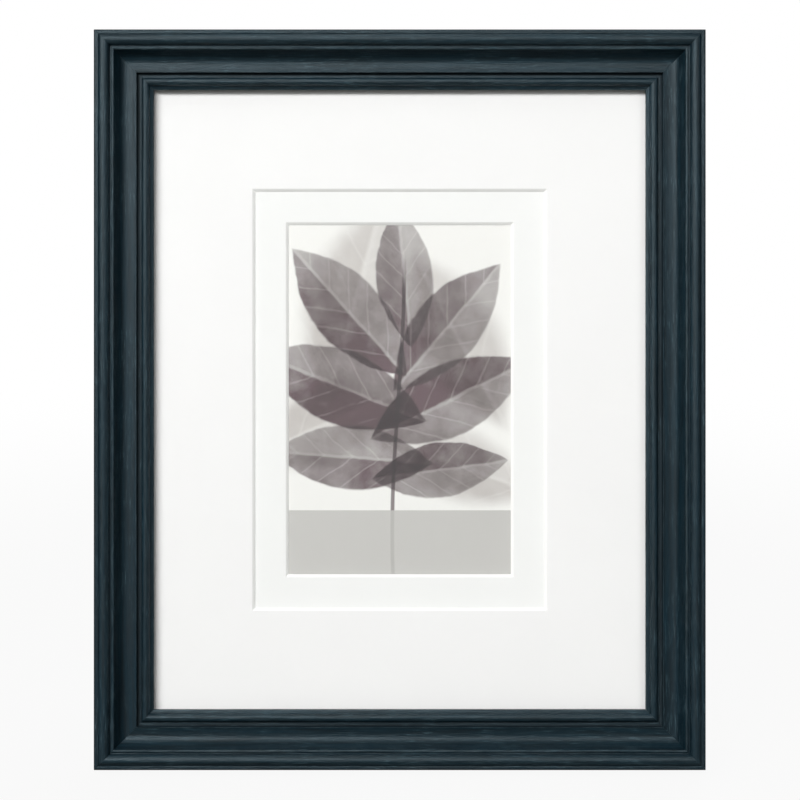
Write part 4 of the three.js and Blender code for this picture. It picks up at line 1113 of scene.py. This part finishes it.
class MakeRivets(bpy.types.Operator):
    """Set the domed rivets of the leaf and of the strap"""
    bl_idname = "picture_frame.make_rivets"
    bl_label = "Rivets"

    def execute(self, context):
        brass = brass_plate(context)
        for part, body, place in (("leaf", "frame", HINGE), ("strap", "easel_leg", OPEN_LEG)):
            nodes = [f"{part}_rivet_{n}" for n in (1, 2)]
            lo, hi = upright_box(nodes[0], place)
            head, tail, shank, soft = 3.0 * MM, 2.6 * MM, 1.5 * MM, 0.15 * MM
            seat, tail_end = hi.y - 1.1 * MM, lo.y + 0.6 * MM
            edge = arc(head - soft, seat + soft, soft, soft, -QUARTER, 0, 4)
            crown = dome(head, seat + soft, hi.y - seat - soft)[1:]
            outline = [(0, lo.y), (tail, lo.y), (tail, tail_end), (shank, tail_end), (shank, seat)] + edge + crown
            shape = turned_mesh(f"{part}_rivet", outline)
            places = [axis_place(node, place) for node in nodes]
            piece = fasteners(f"{part}_rivets", shape, places, 0.0, 0, brass)
            hand_over(piece, body, "brass_plate", *nodes)
        return {"FINISHED"}


def button_mesh(name, s, thickness, gap):
    """Stamped turn button about its screw hole: rounded edges, and a pressed rib towards its tip along +Z."""
    heel, tip, reach, hole, soft = 4.5 * MM, 3.2 * MM, 11.8 * MM, 1.55 * MM, 0.18 * MM
    rib_half, rib_start, rib_end, rib_ramp = 1.1 * MM, 3.4 * MM, reach - 1.3 * MM, 1.2 * MM
    tip_z = reach - tip
    sides = 96
    bm = bmesh.new()
    columns = []
    for i in range(sides):
        angle = 2 * math.pi * i / sides
        way = Vector((math.cos(angle), math.sin(angle)))
        # The widest of the heel circle, the tip circle and the two straight sides along this way
        radius = heel
        across = tip_z * way.y
        root = tip * tip - tip_z * tip_z * way.x * way.x
        if root > 0 and way.y > 0:
            radius = max(radius, across + math.sqrt(root))
        lean = math.asin((heel - tip) / tip_z)
        for side in (-1, 1):
            normal = Vector((side * math.cos(lean), math.sin(lean)))
            facing = way.dot(normal)
            if facing > 1e-6:
                hit = way * (heel / facing)
                start, end = normal * heel, Vector((0, tip_z)) + normal * tip
                if 0 <= (hit - start).dot(end - start) <= (end - start).length_squared:
                    radius = heel / facing
        column = [(hole, gap + soft), (hole, gap + thickness - soft)]
        column += arc(hole + soft, gap + thickness - soft, -soft, soft, 0, QUARTER, 3)[1:]
        column += [(hole + soft + (radius - hole - 2 * soft) * t / 12, gap + thickness) for t in range(1, 12)]
        column += reversed(arc(radius - soft, gap + thickness - soft, soft, soft, 0, QUARTER, 3))
        column += reversed(arc(radius - soft, gap + soft, soft, soft, -QUARTER, 0, 3))
        column += [(hole + soft, gap)]
        ring = []
        for r, y in column:
            x, z = way * r
            if y > gap + thickness - 1e-9:
                rib = max(0.0, 1 - (x / rib_half) ** 2)
                rise = max(0.0, min(1.0, (z - rib_start) / rib_ramp, (rib_end - z) / rib_ramp))
                y += s.rib_rise * rib * rib * rise * rise * (3 - 2 * rise)
            ring.append(bm.verts.new((x, y, z)))
        columns.append(ring)
    for i in range(sides):
        a, b = columns[i], columns[(i + 1) % sides]
        for j in range(len(a)):
            k = (j + 1) % len(a)
            bm.faces.new([a[j], a[k], b[k], b[j]])
    return tidy(mesh_from(bm, name), 40)


def button_place(name):
    """Where a turn button sits, its tip towards the middle of the frame."""
    joint = JOINTS[f"{name}_turn"]
    spot = UPRIGHT.inverted() @ Vector(joint["pos_m"])
    lo, hi = upright_box(name)
    middle = (lo + hi) / 2
    tip = Vector((middle.x - spot.x, 0, middle.z - spot.z))
    turn = math.atan2(tip.x, tip.z)
    return UPRIGHT @ Matrix.Translation((spot.x, 0, spot.z)) @ Matrix.Rotation(turn, 4, "Y"), lo.y, hi.y - lo.y


class MakeTurnButtons(bpy.types.Operator):
    """Stamp the turn buttons that hold the board"""
    bl_idname = "picture_frame.make_turn_buttons"
    bl_label = "Turn buttons"

    def execute(self, context):
        zinc = zinc_plate(context)
        for name in BUTTONS:
            place, gap, thickness = button_place(name)
            mesh = button_mesh(f"{name}_stamped", context.scene.frame_back, thickness, gap)
            mesh.transform(place)
            mesh.materials.append(zinc)
            hand_over(new_piece(f"{name}_stamped", mesh), name, "zinc_steel", name)
        return {"FINISHED"}


def cross_recess(name, radius, width, top, depth):
    """Tapered cross that a driver fits."""
    bm = bmesh.new()
    for turn in (0, 1):
        verts = []
        for y, share in ((top + 0.5 * MM, 1.15), (top - depth, 0.35)):
            for x, z in ((-1, -1), (1, -1), (1, 1), (-1, 1)):
                a, b = x * radius * share, z * width / 2
                verts.append(bm.verts.new((a, y, b) if turn == 0 else (-b, y, a)))
        for face in ((0, 1, 2, 3), (7, 6, 5, 4), (0, 4, 5, 1), (1, 5, 6, 2), (2, 6, 7, 3), (3, 7, 4, 0)):
            bm.faces.new([verts[i] for i in face])
    bmesh.ops.recalc_face_normals(bm, faces=bm.faces)
    return new_piece(name, mesh_from(bm, name))


class MakeScrews(bpy.types.Operator):
    """Drive the pan-head screws of the turn buttons"""
    bl_idname = "picture_frame.make_screws"
    bl_label = "Screws"

    def execute(self, context):
        s = context.scene.frame_back
        nodes = [name.replace("button", "button_screw") for name in BUTTONS]
        lo, hi = upright_box(nodes[0])
        head, shank, point, soft, rim = 3.0 * MM, 1.4 * MM, 2 * MM, 0.2 * MM, 0.25 * MM
        seat = hi.y - 1.7 * MM
        pan = [(shank, seat), (head - soft, seat), (head, seat + rim)]
        pan += arc(0, seat + rim, head, hi.y - seat - rim, 0, QUARTER, 12)[1:-1]
        outline = [(0, lo.y), (shank, lo.y + point)] + pan + [(0, hi.y)]
        model = new_piece("pan_head_screw", turned_mesh("pan_head_screw", outline))
        cut_away(model, [cross_recess("driver_recess", radius=1.6 * MM, width=0.75 * MM, top=hi.y, depth=1.1 * MM)])
        shape = tidy(model.data.copy())
        discard(model)
        places = [axis_place(node, UPRIGHT) for node in nodes]
        piece = fasteners("turn_button_screws", shape, places, 2 * math.pi, s.turn_seed, zinc_plate(context))
        hand_over(piece, "frame", "zinc_steel", *nodes)
        return {"FINISHED"}


class MakeHangers(bpy.types.Operator):
    """Stamp and bend the two sawtooth hangers and nail them on"""
    bl_idname = "picture_frame.make_hangers"
    bl_label = "Hangers"

    def execute(self, context):
        s = context.scene.frame_back
        brass = brass_plate(context)
        tree = hanger_tree()
        for name, turn in (("top_hanger", 2), ("side_hanger", 3)):
            lo, hi = upright_box(name)
            middle = (lo + hi) / 2
            long, wide = max(hi.x - lo.x, hi.z - lo.z), min(hi.x - lo.x, hi.z - lo.z)
            blank = bpy.data.meshes.new(name)
            blank.from_pydata([(0, 0, 0)], [], [])
            piece = new_piece(f"{name}_strip", blank)
            grow(piece, tree, {"Length": long, "Width": wide, "Thickness": s.hanger_thickness, "Lift": s.hanger_lift,
                               "Foot": s.hanger_foot, "Pitch": s.tooth_pitch, "Depth": s.tooth_depth, "Gap": lo.y,
                               "Finish": brass})
            piece.data.transform(turned_place(middle.x, middle.z, turn))
            tidy(piece.data, 40)
            hand_over(piece, "frame", "brass_plate", name)
        nodes = [f"{hanger}_hanger_nail_{n}" for hanger in ("top", "side") for n in (1, 2)]
        lo, hi = upright_box(nodes[0])
        head, shank, point, soft, rim, rise = 2.2 * MM, 0.8 * MM, 1.5 * MM, 0.15 * MM, 0.3 * MM, 0.4 * MM
        seat = hi.y - rim - rise
        edge = [(shank, seat), (head - soft, seat)] + arc(head - soft, seat + soft, soft, soft, -QUARTER, 0, 3)
        crown = arc(0, seat + rim, head, rise, 0, QUARTER, 8)[:-1]
        shape = turned_mesh("hanger_nail", [(0, lo.y), (shank, lo.y + point)] + edge + crown + [(0, hi.y)], 36)
        places = [axis_place(node, UPRIGHT) for node in nodes]
        piece = fasteners("hanger_nails", shape, places, 2 * math.pi, s.turn_seed, brass)
        hand_over(piece, "frame", "brass_plate", *nodes)
        return {"FINISHED"}


def seen_by_eye(tree):
    """1 for what the eye sees, also through the glass, and 0 for other light."""
    ray = add(tree, "ShaderNodeLightPath").outputs
    return add(tree, "ShaderNodeMath", {0: ray["Is Camera Ray"], 1: ray["Is Transmission Ray"]}, operation="MAXIMUM")


# Plain studio floor, painted pale: white to the eye, with part of the object's shadow kept.
def studio_floor(s):
    material, tree = node_material("painted_studio_floor")
    place = add(tree, "ShaderNodeTexCoord").outputs["Object"]
    # Roller texture about 4 mm
    roller = add(tree, "ShaderNodeTexNoise", {"Vector": place, "Scale": 1 / (4 * MM), "Detail": 2.0})
    bump = add(tree, "ShaderNodeBump", {"Strength": 0.05, "Distance": 0.1 * MM, "Height": roller})
    paint = add(tree, "ShaderNodeBsdfDiffuse", {"Color": s.floor, "Normal": bump})
    white = add(tree, "ShaderNodeEmission", {"Color": (1, 1, 1, 1), "Strength": 1.0})
    # The shadow is kept within about half a metre of the object, and the floor further out is plain white
    away = add(tree, "ShaderNodeVectorMath", {0: place}, operation="LENGTH").outputs["Value"]
    near = add(tree, "ShaderNodeMapRange", {"Value": away, "From Min": 0.25, "From Max": 0.6,
                                            "To Min": 1 - s.shadow_share, "To Max": 1.0},
               interpolation_type="SMOOTHSTEP")
    share = add(tree, "ShaderNodeMath", {0: seen_by_eye(tree), 1: near}, operation="MULTIPLY")
    show(tree, add(tree, "ShaderNodeMixShader", {0: share, 1: paint, 2: white}))
    return material


FLOOR_RADIUS = 14
FLOOR_DROP = 0.05 * MM
# How far right of the frame's middle, and below it, the camera stands
CAMERA_NUDGE = 0.1 * MM


class MakeStage(bpy.types.Operator):
    """Lay the floor, hang the lamps and set the camera"""
    bl_idname = "picture_frame.make_stage"
    bl_label = "Stage"

    def execute(self, context):
        s = context.scene.frame_stage
        scene = context.scene
        scene.view_settings.view_transform = "Standard"
        bm = bmesh.new()
        bmesh.ops.create_circle(bm, cap_ends=True, segments=96, radius=FLOOR_RADIUS)
        mesh = mesh_from(bm, "studio_floor")
        mesh.transform(Matrix.Translation((0, 0, -FLOOR_DROP)))
        floor = new_piece("studio_floor", mesh)
        floor.data.materials.append(studio_floor(s))

        world = bpy.data.worlds.new("studio_room")
        scene.world = world
        world.use_nodes = True
        tree = world.node_tree
        tree.nodes.clear()
        # The room is white to the eye and through the glass, and gives the object only a weak even light
        strength = add(tree, "ShaderNodeMapRange", {"Value": seen_by_eye(tree), "To Min": s.sky, "To Max": 1.0})
        light = add(tree, "ShaderNodeBackground", {"Color": (1, 1, 1, 1), "Strength": strength})
        add(tree, "ShaderNodeOutputWorld", {"Surface": light})

        height = frame_size(scene.frame_moulding)[1]
        middle = UPRIGHT @ Vector((0, 0, height / 2))
        # Power, place from the middle of the frame in metres, and size across and up
        lamps = (
            ("key_lamp", s.key, (-1.2, -2.16, 1.8), 2.1, 0.48),
            ("top_lamp", s.top, (-0.05, 0.03, 0.55), 0.5, 0.1),
            ("fill_lamp", s.fill, (0.85, -1.3, 0.95), 0.9, 0.9),
            ("rear_lamp", s.rear, (0.45, 0.95, 0.6), 1.0, 1.0),
        )
        for name, power, offset, across, up in lamps:
            data = bpy.data.lights.new(name, "AREA")
            data.energy = power
            data.shape = "RECTANGLE"
            data.size = across
            data.size_y = up
            lamp = bpy.data.objects.new(name, data)
            scene.collection.objects.link(lamp)
            lamp.visible_camera = False
            spot = middle + Vector(offset)
            lamp.matrix_world = Matrix.Translation(spot) @ (middle - spot).to_track_quat("-Z", "Y").to_matrix().to_4x4()

        data = bpy.data.cameras.new("camera")
        data.lens = s.lens
        data.sensor_width = 36
        camera = bpy.data.objects.new("camera", data)
        scene.collection.objects.link(camera)
        eye = Matrix.Translation((CAMERA_NUDGE, -s.distance, height / 2 - CAMERA_NUDGE))
        camera.matrix_world = UPRIGHT @ eye @ Matrix.Rotation(QUARTER, 4, "X")
        scene.camera = camera
        return {"FINISHED"}


class PictureFramePanel(bpy.types.Panel):
    """Operators and settings of the picture frame"""
    bl_idname = "VIEW3D_PT_picture_frame"
    bl_label = "Picture Frame"
    bl_space_type = "VIEW_3D"
    bl_region_type = "UI"
    bl_category = "Picture Frame"

    def draw(self, context):
        for operator in OPERATORS:
            self.layout.operator(operator.bl_idname)
        for group in SETTINGS:
            box = self.layout.box()
            settings = getattr(context.scene, group)
            box.label(text=settings.bl_rna.description)
            for name in settings.__annotations__:
                box.prop(settings, name)


SETTINGS = {"frame_moulding": MouldingSettings, "frame_pack": PackSettings, "frame_back": BackSettings,
            "frame_stage": StageSettings}
OPERATORS = (MakeMoulding, MakeCornerNails, MakeGlass, MakeMats, MakePrint, MakeBoards, MakeHinge, MakeRivets,
             MakeTurnButtons, MakeScrews, MakeHangers, MakeStage)


def register():
    for group in (*SETTINGS.values(), *OPERATORS, PictureFramePanel):
        bpy.utils.register_class(group)
    for name, group in SETTINGS.items():
        setattr(bpy.types.Scene, name, PointerProperty(type=group))


def unregister():
    for name in SETTINGS:
        delattr(bpy.types.Scene, name)
    for group in (PictureFramePanel, *reversed(OPERATORS), *reversed(list(SETTINGS.values()))):
        bpy.utils.unregister_class(group)


def main():
    register()
    for operator in OPERATORS:
        getattr(bpy.ops.picture_frame, operator.bl_idname.split(".")[1])()


if __name__ == "__main__":
    main()
